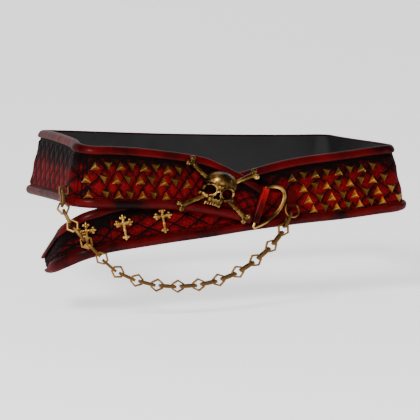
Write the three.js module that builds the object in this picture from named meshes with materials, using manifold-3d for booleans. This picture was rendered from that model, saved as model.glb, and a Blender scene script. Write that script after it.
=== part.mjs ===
// Spiked leather hip belt: one long quilted strap that closes round the waist, crosses itself at the
// front, and carries pyramid studs, a skull with crossed bones, crosses, two rings and a swag chain.
// Millimetres, +Z up. The front faces -Y. The origin is the middle of the waist, level with the rim.
import * as THREE from 'three';
import { mergeVertices } from 'three/addons/utils/BufferGeometryUtils.js';
import Module from 'manifold-3d';

const wasm = await Module();
wasm.setup();

// Sizes of the belt as worn
const WAIST_WIDTH = 345;
const WAIST_DEPTH = 196;
const CORNER_RADIUS = 16;
const FLARE = THREE.MathUtils.degToRad(13);
const SEAM_GAP = 0.35;

// Leather
const WALL = 3;
const LINING = 1;
const BORDER = 9.5;
const QUILT_RISE = 1.2;
const OVERLAP = 8;
const BEAD = { height: 7, proud: 3.2, crown: 1.6 };

// Metal ornaments
const STUD = { radius: 5.9, height: 6.6, sunk: 1.2, pitch: 12.37, widePitch: 13.15 };
const SKULL = { s: -33.5, z: -41.3, turn: THREE.MathUtils.degToRad(-17) };
const ORNAMENT_LIFT = BEAD.proud + SEAM_GAP;
const BONE = { shaft: 2.3, knob: 3.3, spread: 3.5, axis: 1.5 };
const CROSS = { top: 8.2, side: 9.4, foot: 17.2, neck: 1.5, lobe: 1.75, thick: 2.6 };

// Rings and chain
const RING_STRAP = { top: { s: 20.4, z: -42.3 }, bottom: { s: 5.5, z: -76.4 }, width: 7.6, depth: 7.4 };
const BIG_RING = { out: 7.5, chord: 45, rise: 1.2, depth: 23.6, skew: 17, wire: 1.5, dip: THREE.MathUtils.degToRad(8) };
const TAB = { width: 8.6, drop: 15.6, fold: 3, leather: 2.7, lift: 2.1 };
const SMALL_RING = { wire: 1.1, lean: THREE.MathUtils.degToRad(29) };
const LINK = { band: 1.8, depth: 2.8, play: 0.6 };
const ROUND_LINK = { half: 5.75, flat: 2.5, wide: 6 };
const LONG_LINK = { flat: 2.85, wide: 4.05 };
const LINKS = 29;
const STAPLE = { s: -175.2, z: -42, out: 10, wire: 1, halfSpan: 4.4, rise: 6.4 };
const FREE_Z = -97;

const FINISH = {
  leather: new THREE.MeshStandardMaterial({ color: 0x7d1519, roughness: 0.55, metalness: 0 }),
  binding: new THREE.MeshStandardMaterial({ color: 0x4d0e12, roughness: 0.35, metalness: 0 }),
  lining: new THREE.MeshStandardMaterial({ color: 0x1a1a1a, roughness: 0.8, metalness: 0 }),
  brass: new THREE.MeshStandardMaterial({ color: 0xb98438, roughness: 0.35, metalness: 1 }),
  bronze: new THREE.MeshStandardMaterial({ color: 0x7b5a2c, roughness: 0.4, metalness: 1 }),
};

// Plan of the waist: straight runs and corner arcs, walked from the front centre towards +X
const RUN_X = WAIST_WIDTH / 2 - CORNER_RADIUS;
const RUN_Y = WAIST_DEPTH / 2 - CORNER_RADIUS;
const ARC = (Math.PI / 2) * CORNER_RADIUS;
const PLAN = [
  { length: RUN_X, x: 0, y: -WAIST_DEPTH / 2, heading: 0 },
  { length: ARC, x: RUN_X, y: -RUN_Y, bend: -90 },
  { length: 2 * RUN_Y, x: WAIST_WIDTH / 2, y: -RUN_Y, heading: 90 },
  { length: ARC, x: RUN_X, y: RUN_Y, bend: 0 },
  { length: 2 * RUN_X, x: RUN_X, y: WAIST_DEPTH / 2, heading: 180 },
  { length: ARC, x: -RUN_X, y: RUN_Y, bend: 90 },
  { length: 2 * RUN_Y, x: -WAIST_WIDTH / 2, y: RUN_Y, heading: 270 },
  { length: ARC, x: -RUN_X, y: -RUN_Y, bend: 180 },
  { length: RUN_X, x: -RUN_X, y: -WAIST_DEPTH / 2, heading: 0 },
];
const GIRTH = PLAN.reduce((sum, run) => sum + run.length, 0);
const RIGHT_CORNER = RUN_X + ARC / 2;
const SIDE_LENGTH = 2 * RUN_Y + ARC;
const BACK_RIGHT = RIGHT_CORNER + SIDE_LENGTH;
const BACK_LEFT = GIRTH - BACK_RIGHT;
const LEFT_CORNER = GIRTH - RIGHT_CORNER;

// The strap as sections from the tail to the ring end. Each has the distance round the waist (S) and
// the height (Z) of its top and bottom edge, and how far its outer face stands out from the plan.
const STRAP = [
  { topS: -223.5, topZ: -113, bottomS: -191, bottomZ: -125.4, out: 0 },
  { topS: -211, topZ: -103.7, bottomS: -181.5, bottomZ: -122.5, out: 0 },
  { topS: -197, topZ: -93.5, bottomS: -173.5, bottomZ: -115, out: 0 },
  { topS: -185, topZ: -83.5, bottomS: -166.5, bottomZ: -107.5, out: -0.3 },
  { topS: -176, topZ: -73.3, bottomS: -160.5, bottomZ: -103, out: -0.6 },
  { topS: -164.4, topZ: -62, bottomS: -153.5, bottomZ: -100.2, out: -1 },
  { topS: -150, topZ: -56.3, bottomS: -145, bottomZ: -98.8, out: -1 },
  { topS: -130, topZ: -52.5, bottomS: -130, bottomZ: -97, out: -1 },
  { topS: -82, topZ: -43.5, bottomS: -82, bottomZ: -92, out: -1 },
  { topS: -40, topZ: -35, bottomS: -40, bottomZ: -88, out: -0.5 },
  { topS: -3, topZ: -27, bottomS: -3, bottomZ: -83.8, out: 0 },
  { topS: 35, topZ: -18.3, bottomS: 35, bottomZ: -80.4, out: 0 },
  { topS: 63, topZ: -13.7, bottomS: 63, bottomZ: -78.2, out: 0 },
  { topS: 110, topZ: -9.2, bottomS: 110, bottomZ: -75.4, out: 0 },
  { topS: RUN_X, topZ: -4.6, bottomS: RUN_X, bottomZ: -71.2, out: 0 },
  { topS: RUN_X + ARC, topZ: -3.8, bottomS: RUN_X + ARC, bottomZ: -69.5, out: 0 },
  { topS: BACK_RIGHT, topZ: -7, bottomS: BACK_RIGHT, bottomZ: -72, out: 0 },
  { topS: GIRTH / 2, topZ: -2.5, bottomS: GIRTH / 2, bottomZ: -68, out: 0 },
  { topS: BACK_LEFT, topZ: 6.5, bottomS: BACK_LEFT, bottomZ: -60.5, out: 0 },
  { topS: GIRTH - 300, topZ: 8.6, bottomS: GIRTH - 300, bottomZ: -57.5, out: 0 },
  { topS: GIRTH - 200, topZ: 8.3, bottomS: GIRTH - 200, bottomZ: -53, out: 0.5 },
  { topS: GIRTH - 174, topZ: 6.4, bottomS: GIRTH - 174, bottomZ: -52.8, out: 3.6 },
  { topS: GIRTH - 160, topZ: 4.5, bottomS: GIRTH - 160, bottomZ: -53.8, out: 6.6 },
  { topS: GIRTH - 140, topZ: 3.7, bottomS: GIRTH - 140, bottomZ: -55, out: OVERLAP },
  { topS: GIRTH - 110, topZ: 1, bottomS: GIRTH - 110, bottomZ: -56.2, out: OVERLAP },
  { topS: GIRTH - 85, topZ: -2.4, bottomS: GIRTH - 85, bottomZ: -57.6, out: OVERLAP },
  { topS: GIRTH - 61, topZ: -6.2, bottomS: GIRTH - 61, bottomZ: -60.9, out: OVERLAP },
  { topS: GIRTH - 41, topZ: -10.8, bottomS: GIRTH - 43, bottomZ: -64.2, out: OVERLAP },
  { topS: GIRTH - 24, topZ: -18.5, bottomS: GIRTH - 27, bottomZ: -67.5, out: OVERLAP },
  { topS: GIRTH - 8, topZ: -26.6, bottomS: GIRTH - 14, bottomZ: -70.6, out: OVERLAP },
  { topS: GIRTH + 4.6, topZ: -33.8, bottomS: GIRTH - 6.5, bottomZ: -72.8, out: OVERLAP },
  { topS: GIRTH + 16, topZ: -41.3, bottomS: GIRTH + 0.6, bottomZ: -75.2, out: OVERLAP },
];
const STATIONS = STRAP.map((row) => (row.topS + row.bottomS) / 2);
const TAIL_END = STATIONS[0];
const RING_END = STATIONS[STATIONS.length - 1];

// Quilted walls, cut from the strap end to end. Wide and tall give the diamonds.
const CROSSING = -12;
const TAIL_TURN = -146;
const RIGHT_SEAM = RIGHT_CORNER + 7;
const WALLS = [
  { name: 'tail_tip', from: TAIL_END, to: TAIL_TURN, wide: 15, tall: 2, slanted: true },
  { name: 'tail', from: TAIL_TURN, to: CROSSING, wide: 27, tall: 2 },
  { name: 'right_front', from: CROSSING, to: RIGHT_SEAM, wide: 27, tall: 2 },
  { name: 'right_side', from: RIGHT_SEAM, to: BACK_RIGHT, wide: 27, tall: 2 },
  { name: 'back', from: BACK_RIGHT, to: BACK_LEFT, wide: 27, tall: 2 },
  { name: 'left_side', from: BACK_LEFT, to: LEFT_CORNER, wide: 20.5, tall: 2 },
  { name: 'left_front', from: LEFT_CORNER, to: RING_END, wide: 12.4, tall: 2 },
];

// Stretches where the strap bends, and the spacing of its sections there
const BEND_STEP = 4.2;
const BENDS = [
  { from: TAIL_END, to: -138 },
  { from: RIGHT_CORNER - ARC / 2, to: RIGHT_CORNER + ARC / 2 },
  { from: BACK_RIGHT - ARC / 2, to: BACK_RIGHT + ARC / 2 },
  { from: BACK_LEFT - ARC / 2, to: BACK_LEFT + ARC / 2 },
  { from: LEFT_CORNER - ARC / 2, to: LEFT_CORNER + ARC / 2 },
];

// Stud rows: first stud's distance from the front centre, count, and height as a share of the strap
const LEFT_STUDS = [
  { from: -158.4, count: 8, share: 0.695 },
  { from: -163.6, count: 9, share: 0.465 },
  { from: -162.2, count: 7, share: 0.205 },
];
const RIGHT_STUDS = [
  { from: 52.6, count: 8, share: 0.725 },
  { from: 64.4, count: 8, share: 0.53 },
  { from: 69.1, count: 8, share: 0.345 },
  { from: 73.9, count: 8, share: 0.18 },
];

// Half bones: direction in the panel's plane, distance of the cut end and of the knobs from the middle
const BONES = [
  { name: 'bone_upper_left', angle: 131.5, from: 21.6, to: 40.5 },
  { name: 'bone_upper_right', angle: 19.6, from: 21.7, to: 43.5 },
  { name: 'bone_lower_left', angle: 199.6, from: 22.6, to: 43.5 },
  { name: 'bone_lower_right', angle: -48.5, from: 23, to: 40.5 },
];
const CROSSES = [
  { name: 'cross_1', s: -163.2, z: -78.6, turn: 7 },
  { name: 'cross_2', s: -132.8, z: -72, turn: 7 },
  { name: 'cross_3', s: -91, z: -66.4, turn: 6 },
];

// The chain's middle line as it hangs: distance round the waist, height, and distance out
const CHAIN_LINE = [
  { s: -174.6, z: -49, out: 11.3 },
  { s: -172.6, z: -57.5, out: 12.3 },
  { s: -168.4, z: -71, out: 11.8 },
  { s: -163.6, z: -85.4, out: 10.8 },
  { s: -158.3, z: -101.4, out: 10 },
  { s: -147.4, z: -116, out: 10 },
  { s: -127.4, z: -127, out: 10 },
  { s: -103, z: -134.5, out: 10 },
  { s: -80, z: -137, out: 10 },
  { s: -57.7, z: -136.5, out: 10 },
  { s: -34.7, z: -132.4, out: 10 },
  { s: -14.5, z: -125, out: 10 },
  { s: 4, z: -114, out: 10 },
  { s: 21, z: -100, out: 10 },
  { s: 35.5, z: -84, out: 9.6 },
];

const belt = new THREE.Group();
const add = (name, geometry, finish) => {
  geometry.computeVertexNormals();
  const mesh = new THREE.Mesh(geometry, finish);
  mesh.name = name;
  belt.add(mesh);
};

// Point and outward direction of the plan at distance s round the waist
function planAt(s) {
  let left = ((s % GIRTH) + GIRTH) % GIRTH;
  let run = PLAN[0];
  for (run of PLAN) {
    if (left <= run.length) break;
    left -= run.length;
  }
  if (run.bend === undefined) {
    const heading = THREE.MathUtils.degToRad(run.heading);
    const along = new THREE.Vector2(Math.cos(heading), Math.sin(heading));
    const outward = new THREE.Vector2(along.y, -along.x);
    return { point: along.multiplyScalar(left).add(new THREE.Vector2(run.x, run.y)), outward };
  }
  const angle = THREE.MathUtils.degToRad(run.bend) + left / CORNER_RADIUS;
  const outward = new THREE.Vector2(Math.cos(angle), Math.sin(angle));
  return { point: outward.clone().multiplyScalar(CORNER_RADIUS).add(new THREE.Vector2(run.x, run.y)), outward };
}

// Point on the flared belt: the plan moves outward as the height falls
function beltPoint(s, z, out, flareZ = z) {
  const { point, outward } = planAt(s);
  point.addScaledVector(outward, out - Math.tan(FLARE) * flareZ);
  return new THREE.Vector3(point.x, point.y, z);
}

// Smooth reading of one column of the strap table at station q
function readStrap(column, q) {
  let i = 0;
  while (i < STATIONS.length - 2 && q > STATIONS[i + 1]) i += 1;
  const slope = (k) => {
    const a = Math.max(k - 1, 0);
    const b = Math.min(k + 1, STRAP.length - 1);
    return (STRAP[b][column] - STRAP[a][column]) / (STATIONS[b] - STATIONS[a]);
  };
  const span = STATIONS[i + 1] - STATIONS[i];
  const t = (q - STATIONS[i]) / span;
  const rise = STRAP[i + 1][column] - STRAP[i][column];
  const cubic = (slope(i) * span - rise) * (1 - t) - (slope(i + 1) * span - rise) * t;
  return STRAP[i][column] + rise * t + cubic * t * (1 - t);
}

// Section of the strap at station q
function sectionAt(q) {
  const row = { q };
  for (const column of ['topS', 'topZ', 'bottomS', 'bottomZ', 'out']) row[column] = readStrap(column, q);
  row.width = Math.hypot(row.topS - row.bottomS, row.topZ - row.bottomZ);
  return row;
}

// Point of a section: share 0 is the bottom edge and 1 the top edge
function strapPoint(row, share, lift) {
  const s = THREE.MathUtils.lerp(row.bottomS, row.topS, share);
  const z = THREE.MathUtils.lerp(row.bottomZ, row.topZ, share);
  return beltPoint(s, z, row.out + lift);
}

// Frame on the belt's surface: x along the strap, y up and z out
function surfaceFrame(s, z, out) {
  const origin = beltPoint(s, z, out);
  const right = beltPoint(s + 1, z, out).sub(beltPoint(s - 1, z, out)).normalize();
  const rise = beltPoint(s, z + 1, out).sub(beltPoint(s, z - 1, out)).normalize();
  const normal = right.clone().cross(rise).normalize();
  const up = normal.clone().cross(right);
  return new THREE.Matrix4().makeBasis(right, up, normal).setPosition(origin);
}

// Stations of the quilting's columns, with closer ones where the strap bends
function columnsOf(wall) {
  const count = 2 * Math.round((wall.to - wall.from) / wall.wide);
  const inBend = (q) => BENDS.some((bend) => q > bend.from - 1.6 && q < bend.to + 1.6);
  const list = [];
  for (let i = 0; i <= count; i += 1) list.push(wall.from + ((wall.to - wall.from) * i) / count);
  return list.filter((q) => !inBend(q));
}

function bendStations() {
  return BENDS.flatMap(({ from, to }) => {
    const count = Math.round((to - from) / BEND_STEP);
    return Array.from({ length: count + 1 }, (_, i) => from + ((to - from) * i) / count);
  });
}

// Stations from one end to the other, shared by every layer so that the layers keep their gaps
function stationsBetween(from, to) {
  const all = [...WALLS.flatMap(columnsOf), ...bendStations()].sort((p, q) => p - q);
  const inside = all.filter((q, i) => q > from + 1 && q < to - 1 && (i === 0 || q - all[i - 1] > 0.5));
  return [from, ...inside, to];
}

// Geometry from points and triangles, turned inside out if its faces point in
function solidFrom(points, faces) {
  let volume = 0;
  for (let i = 0; i < faces.length; i += 3) {
    const [a, b, c] = [points[faces[i]], points[faces[i + 1]], points[faces[i + 2]]];
    volume += a.dot(b.clone().cross(c));
  }
  const index = volume < 0 ? faces.slice().reverse() : faces;
  const geometry = new THREE.BufferGeometry();
  geometry.setAttribute('position', new THREE.Float32BufferAttribute(points.flatMap((p) => p.toArray()), 3));
  geometry.setIndex(index);
  return geometry;
}

// Solid through rings of equal count. Open lofts get flat ends cut from the profile. Where heights are
// given, each quad is split along its lower diagonal, so that quilting grooves run unbroken.
function loft(rings, { profile = null, heights = null } = {}) {
  const n = rings[0].length;
  const faces = [];
  const rows = profile ? rings.length - 1 : rings.length;
  const heightOf = (i, j) => (heights ? heights[i][j] : 0);
  for (let i = 0; i < rows; i += 1) {
    const next = (i + 1) % rings.length;
    for (let j = 0; j < n; j += 1) {
      const k = (j + 1) % n;
      const [a, b, c, d] = [i * n + j, i * n + k, next * n + k, next * n + j];
      const acrossLow = heightOf(i, j) + heightOf(next, k) <= heightOf(i, k) + heightOf(next, j);
      faces.push(...(acrossLow ? [a, b, c, a, c, d] : [a, b, d, b, c, d]));
    }
  }
  if (profile) {
    const last = (rings.length - 1) * n;
    for (const [a, b, c] of THREE.ShapeUtils.triangulateShape(profile, [])) {
      const forward = THREE.ShapeUtils.isClockWise(profile);
      faces.push(...(forward ? [a, b, c] : [a, c, b]));
      faces.push(...(forward ? [last + a, last + c, last + b] : [last + a, last + b, last + c]));
    }
  }
  return solidFrom(rings.flat(), faces);
}

function toManifold(geometry) {
  const bare = geometry.index ? geometry.clone() : geometry;
  bare.deleteAttribute('normal');
  bare.deleteAttribute('uv');
  const merged = mergeVertices(bare, 1e-4);
  const vertProperties = Float32Array.from(merged.attributes.position.array);
  return new wasm.Manifold(new wasm.Mesh({ numProp: 3, vertProperties, triVerts: Uint32Array.from(merged.index.array) }));
}

function fromManifold(solid) {
  const mesh = solid.getMesh();
  const geometry = new THREE.BufferGeometry();
  geometry.setAttribute('position', new THREE.BufferAttribute(Float32Array.from(mesh.vertProperties), 3));
  geometry.setIndex(new THREE.BufferAttribute(Uint32Array.from(mesh.triVerts), 1));
  return geometry;
}

// Pillow height of the quilting at station q and share v of the strap's width
function quiltHeight(q, v, edge, wall, pitch) {
  const inset = Math.min(q - wall.from, wall.to - q);
  if (Math.min(v, 1 - v) < edge * 1.001 || inset <= 0) return 0;
  const across = (q - wall.from) / pitch;
  const up = ((v - edge) / (1 - 2 * edge)) * wall.tall;
  return QUILT_RISE * Math.sqrt(Math.abs(Math.sin(Math.PI * (across + up)) * Math.sin(Math.PI * (across - up))));
}

// Evenly spaced points up one side of a flat section, bowed a little so that none is dropped
function ladder(steps) {
  return Array.from({ length: steps + 1 }, (_, j) => {
    const t = j / steps;
    return new THREE.Vector2(-1 - t * (1 - t), t);
  });
}

// Quilted wall: a raised diamond lattice outside, a plain face inside
function wallGeometry(wall) {
  const from = wall.from + SEAM_GAP / 2;
  const to = wall.to - SEAM_GAP / 2;
  const pitch = (wall.to - wall.from) / Math.round((wall.to - wall.from) / wall.wide);
  const shares = [];
  for (let j = 0; j <= 2 * wall.tall; j += 1) shares.push(j / (2 * wall.tall));
  const inner = wall.slanted ? wall.tall * 3 : 1;
  const stations = stationsBetween(from, to);
  const heights = [];
  const rings = stations.map((q) => {
    const row = sectionAt(q);
    const edge = BORDER / row.width;
    const outer = [0, ...shares.map((share) => edge + share * (1 - 2 * edge)), 1];
    const lifts = outer.map((v) => quiltHeight(q, v, edge, wall, pitch));
    heights.push([...lifts, ...Array(inner + 1).fill(0)]);
    const points = outer.map((v, j) => strapPoint(row, v, lifts[j]));
    for (let j = inner; j >= 0; j -= 1) points.push(strapPoint(row, j / inner, -WALL));
    return points;
  });
  const count = shares.length + 2;
  const profile = ladder(count - 1).map((p) => new THREE.Vector2(-p.x, p.y));
  profile.push(...ladder(inner).reverse());
  return loft(rings, { profile, heights });
}

// Thin lining behind the walls, inside the bound edges
function liningGeometry(from, to, steps) {
  const near = -WALL - SEAM_GAP;
  const far = near - LINING;
  const shares = ladder(steps).map((p) => p.y);
  const rings = stationsBetween(from + SEAM_GAP / 2, to - SEAM_GAP / 2).map((q) => {
    const row = sectionAt(q);
    const front = shares.map((share) => strapPoint(row, share, near));
    const back = shares.map((share) => strapPoint(row, share, far));
    return [...back, ...front.reverse()];
  });
  const outer = ladder(steps).map((p) => new THREE.Vector2(-p.x, p.y));
  return loft(rings, { profile: [...outer, ...ladder(steps).reverse()] });
}

// Rolled binding over one edge: a bead outside that turns over the leather and the lining
function bindingGeometry(from, to, edge) {
  const inner = -WALL - LINING - 2 * SEAM_GAP + 0.2;
  const { height, proud, crown } = BEAD;
  const profile = [
    [SEAM_GAP, height], [proud * 0.7, height * 0.9], [proud, height * 0.6], [proud * 0.94, height * 0.28],
    [proud * 0.5, -crown * 0.3], [-1, -crown], [-WALL - 0.3, -crown * 0.85], [inner, -SEAM_GAP], [SEAM_GAP, -SEAM_GAP],
  ];
  if (edge === 'top') profile.reverse();
  const rings = stationsBetween(from + SEAM_GAP / 2, to - SEAM_GAP / 2).map((q) => {
    const row = sectionAt(q);
    return profile.map(([lift, depth]) => {
      const share = edge === 'top' ? 1 - depth / row.width : depth / row.width;
      return strapPoint(row, share, lift);
    });
  });
  return loft(rings, { profile: profile.map(([lift, depth]) => new THREE.Vector2(lift, depth)) });
}

// Three-sided pyramid stud, point up or point down, on the strap's outer face
function studSolid(q, share, pointsUp) {
  const row = sectionAt(q);
  const s = THREE.MathUtils.lerp(row.bottomS, row.topS, share);
  const z = THREE.MathUtils.lerp(row.bottomZ, row.topZ, share);
  const cone = new THREE.ConeGeometry(STUD.radius, STUD.height + STUD.sunk, 3, 1);
  cone.translate(0, (STUD.height + STUD.sunk) / 2 - STUD.sunk, 0);
  cone.rotateX(Math.PI / 2);
  cone.rotateZ(pointsUp ? Math.PI : 0);
  cone.translate(0, pointsUp ? -STUD.radius / 4 : STUD.radius / 4, 0);
  cone.applyMatrix4(surfaceFrame(s, z, row.out));
  return toManifold(cone);
}

function addWalls() {
  const studsOf = {
    left_front: LEFT_STUDS.map((row) => ({ ...row, from: row.from + GIRTH, pitch: STUD.pitch })),
    right_front: RIGHT_STUDS.map((row) => ({ ...row, pitch: STUD.widePitch })),
  };
  for (const wall of WALLS) {
    const geometry = wallGeometry(wall);
    if (!studsOf[wall.name]) {
      add(wall.name, geometry, FINISH.leather);
      continue;
    }
    let solid = toManifold(geometry);
    for (const row of studsOf[wall.name]) {
      for (let i = 0; i < row.count; i += 1) {
        solid = solid.add(studSolid(row.from + i * row.pitch, row.share, i % 2 === 0));
      }
    }
    add(wall.name, fromManifold(solid), FINISH.leather);
  }
}

function addLinings() {
  add('tail_lining', liningGeometry(TAIL_END, TAIL_TURN, 6), FINISH.lining);
  add('right_lining', liningGeometry(TAIL_TURN, RIGHT_SEAM, 1), FINISH.lining);
  add('loop_lining', liningGeometry(RIGHT_SEAM, LEFT_CORNER, 1), FINISH.lining);
  add('left_lining', liningGeometry(LEFT_CORNER, RING_END, 1), FINISH.lining);
}

function addBindings() {
  for (const edge of ['top', 'bottom']) {
    add(`right_${edge}_binding`, bindingGeometry(TAIL_END, RIGHT_SEAM, edge), FINISH.binding);
    add(`loop_${edge}_binding`, bindingGeometry(RIGHT_SEAM, LEFT_CORNER, edge), FINISH.binding);
    add(`left_${edge}_binding`, bindingGeometry(LEFT_CORNER, RING_END, edge), FINISH.binding);
  }
}

function ball(x, y, z, rx, ry, rz, around = 14, high = 10) {
  const geometry = new THREE.SphereGeometry(1, around, high);
  geometry.scale(rx, ry, rz);
  geometry.translate(x, y, z);
  return toManifold(geometry);
}

// Unit circle as a list of points
function circle(sides) {
  return Array.from({ length: sides }, (_, k) => {
    const a = ((k + 0.5) / sides) * 2 * Math.PI;
    return new THREE.Vector2(Math.cos(a), Math.sin(a));
  });
}

// Flat back: everything behind the mounting plane is cut away
function flatBack(solid, plane = 0) {
  const reach = 120;
  const block = new THREE.BoxGeometry(reach, reach, reach);
  block.translate(0, 0, plane + reach / 2);
  return solid.intersect(toManifold(block));
}

// Skull without a lower jaw: domed crown, cheekbones, upper teeth, and open sockets and nose
function addSkull() {
  let head = ball(0, 5, 0, 19.2, 15.2, 12.5, 20, 14);
  head = head.add(ball(0, -4, 0, 15.8, 9.5, 10.6, 18, 12));
  head = head.add(ball(0, -10.5, 0, 9.6, 8, 9.2, 14, 10));
  for (const side of [-1, 1]) {
    head = head.add(ball(side * 14.6, -9, 1.5, 5.2, 3.4, 5.2, 10, 8));
    head = head.add(ball(side * 17.4, -2, 1, 2.4, 7, 4.4, 8, 8));
  }
  for (let i = -3; i <= 3; i += 1) {
    const tooth = new THREE.BoxGeometry(2.3, 4.4, 3.2);
    tooth.translate(i * 2.75, -16.6 + Math.abs(i) * 0.25, 5.6 - Math.abs(i) * 0.9);
    head = head.add(toManifold(tooth));
  }
  for (const side of [-1, 1]) head = head.subtract(ball(side * 9.1, -3.1, 0, 6.1, 5.3, 40, 14, 8));
  const nose = new THREE.Shape([
    new THREE.Vector2(0, -5.4), new THREE.Vector2(3.9, -12.2), new THREE.Vector2(0.4, -11.2),
    new THREE.Vector2(-0.4, -11.2), new THREE.Vector2(-3.9, -12.2),
  ]);
  const noseCut = new THREE.ExtrudeGeometry(nose, { depth: 40, bevelEnabled: false });
  noseCut.translate(0, 0, -10);
  head = flatBack(head.subtract(toManifold(noseCut)));
  const geometry = fromManifold(head);
  geometry.rotateZ(SKULL.turn);
  geometry.applyMatrix4(surfaceFrame(SKULL.s, SKULL.z, OVERLAP + ORNAMENT_LIFT));
  add('skull', geometry, FINISH.bronze);
}

// Half bones that run out from under the skull's rim, each with two knuckles, over the bound edges
function addBones() {
  const frame = surfaceFrame(SKULL.s, SKULL.z, OVERLAP + ORNAMENT_LIFT);
  for (const { name, angle, from, to } of BONES) {
    const length = to - from;
    const girths = [[from, 1], [from + length * 0.45, 0.9], [to - 3, 1.15], [to, 1.4]];
    const rings = girths.map(([x, scale]) => {
      return circle(10).map((p) => new THREE.Vector3(x, BONE.shaft * scale * p.x, BONE.axis + BONE.shaft * scale * p.y));
    });
    let bone = toManifold(loft(rings, { profile: circle(10) }));
    for (const side of [-1, 1]) {
      bone = bone.add(ball(to + 0.8, side * BONE.spread, BONE.axis, BONE.knob, BONE.knob, BONE.knob, 10, 8));
    }
    const geometry = fromManifold(flatBack(bone));
    geometry.rotateZ(THREE.MathUtils.degToRad(angle));
    geometry.applyMatrix4(frame);
    add(name, geometry, FINISH.bronze);
  }
}

// Outline of one arm of a cross: a neck, two side lobes and a tip lobe
function armOutline(reach) {
  const { neck, lobe } = CROSS;
  const points = [new THREE.Vector2(neck, -neck)];
  const arc = (x, y, start, end, steps) => {
    for (let i = 0; i <= steps; i += 1) {
      const a = THREE.MathUtils.degToRad(start + ((end - start) * i) / steps);
      points.push(new THREE.Vector2(x + lobe * Math.cos(a), y + lobe * Math.sin(a)));
    }
  };
  arc(reach - 2.6, -neck - 1, 200, 360, 4);
  arc(reach - 1.1, 0, -50, 50, 3);
  arc(reach - 2.6, neck + 1, 0, 160, 4);
  return points;
}

// Crosses on the tail, with trefoil ends and a longer foot
function addCrosses() {
  const arms = [
    { reach: CROSS.side, turn: 0 },
    { reach: CROSS.top, turn: 90 },
    { reach: CROSS.side, turn: 180 },
    { reach: CROSS.foot, turn: 270 },
  ];
  const middle = new THREE.Vector2(0, 0);
  const outline = arms.flatMap(({ reach, turn }) => {
    return armOutline(reach).map((p) => p.rotateAround(middle, THREE.MathUtils.degToRad(turn)));
  });
  for (const { name, s, z, turn } of CROSSES) {
    const geometry = new THREE.ExtrudeGeometry(new THREE.Shape(outline), { depth: CROSS.thick, bevelEnabled: false });
    geometry.rotateZ(THREE.MathUtils.degToRad(turn));
    geometry.applyMatrix4(surfaceFrame(s, z, readStrap('out', s) + QUILT_RISE + SEAM_GAP));
    add(name, fromManifold(toManifold(geometry)), FINISH.brass);
  }
}

// Closed hoop along a flat path, with mitred corners. Each point may have its own half width.
function hoopGeometry(path, halfWidth, halfDepth, sides = 4) {
  const n = path.length;
  const rings = path.map((point, i) => {
    const before = path[(i + n - 1) % n];
    const after = path[(i + 1) % n];
    const inward = new THREE.Vector2().subVectors(point, before).normalize();
    const outward = new THREE.Vector2().subVectors(after, point).normalize();
    const along = inward.clone().add(outward).normalize();
    const across = new THREE.Vector2(along.y, -along.x);
    const mitre = Math.max(across.dot(new THREE.Vector2(inward.y, -inward.x)), 0.5);
    const half = (Array.isArray(halfWidth) ? halfWidth[i] : halfWidth) / mitre;
    const square = sides === 4 ? Math.SQRT2 : 1;
    return circle(sides).map((corner) => {
      const p = point.clone().addScaledVector(across, half * square * corner.x);
      return new THREE.Vector3(p.x, p.y, halfDepth * square * corner.y);
    });
  });
  return loft(rings);
}

// Frame along the leather loop that holds the big ring: x across, y up its length, z out
function ringStrapFrame(out) {
  const { top, bottom } = RING_STRAP;
  const frame = surfaceFrame(top.s, top.z, out);
  const down = beltPoint(bottom.s, bottom.z, out).sub(beltPoint(top.s, top.z, out));
  const inverse = frame.clone().setPosition(0, 0, 0).invert();
  down.applyMatrix4(inverse);
  const lean = Math.atan2(down.x, -down.y);
  return { frame, lean, length: down.length() };
}

// Leather loop folded round the big ring's bar at the strap's end
function addRingStrap() {
  const { frame, lean, length } = ringStrapFrame(BIG_RING.out);
  const { width, depth } = RING_STRAP;
  const corner = 2;
  const outline = new THREE.Shape();
  const [w, d] = [width / 2, depth / 2];
  outline.absarc(w - corner, d - corner, corner, 0, Math.PI / 2);
  outline.absarc(-w + corner, d - corner, corner, Math.PI / 2, Math.PI);
  outline.absarc(-w + corner, -d + corner, corner, Math.PI, 1.5 * Math.PI);
  outline.absarc(w - corner, -d + corner, corner, 1.5 * Math.PI, 2 * Math.PI);
  const bore = new THREE.Path();
  bore.absarc(0, 0, BIG_RING.wire + 0.4, 0, 2 * Math.PI, true);
  outline.holes.push(bore);
  const geometry = new THREE.ExtrudeGeometry(outline, { depth: length, bevelEnabled: false, curveSegments: 5 });
  geometry.rotateX(Math.PI / 2);
  geometry.rotateZ(lean);
  geometry.applyMatrix4(frame);
  add('ring_strap', fromManifold(toManifold(geometry)), FINISH.binding);
}

// Big D ring: a straight bar inside the loop and a skewed bow, widest at the upper right
function addBigRing() {
  const { wire, chord, rise, depth, skew, dip, out } = BIG_RING;
  const { frame, lean } = ringStrapFrame(out);
  const path = [new THREE.Vector2(0, rise + 0.5)];
  const widths = [wire];
  const steps = 16;
  for (let i = 0; i <= steps; i += 1) {
    const t = (Math.PI * (i + 0.35)) / (steps + 0.7);
    path.push(new THREE.Vector2(depth * Math.sin(t), rise - (chord / 2) * (1 - Math.cos(t)) + skew * Math.sin(t)));
    widths.push(wire + 1.1 * Math.sin(t) * (1 - i / (1.6 * steps)));
  }
  path.push(new THREE.Vector2(0, rise + 2 - chord));
  widths.push(wire);
  const geometry = hoopGeometry(path, widths, wire, 6);
  geometry.rotateY(dip);
  geometry.rotateZ(lean);
  geometry.applyMatrix4(frame);
  add('big_ring', geometry, FINISH.bronze);
}

// Hinge line of the chain: from its end link's staple on the left corner to the small ring's bar
const HINGE_LEFT = beltPoint(STAPLE.s, STAPLE.z, STAPLE.out);
const HINGE_RIGHT = beltPoint(48.4, -59.9, TAB.lift + TAB.fold);
const HINGE_DIRECTION = HINGE_RIGHT.clone().sub(HINGE_LEFT).normalize();

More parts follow.
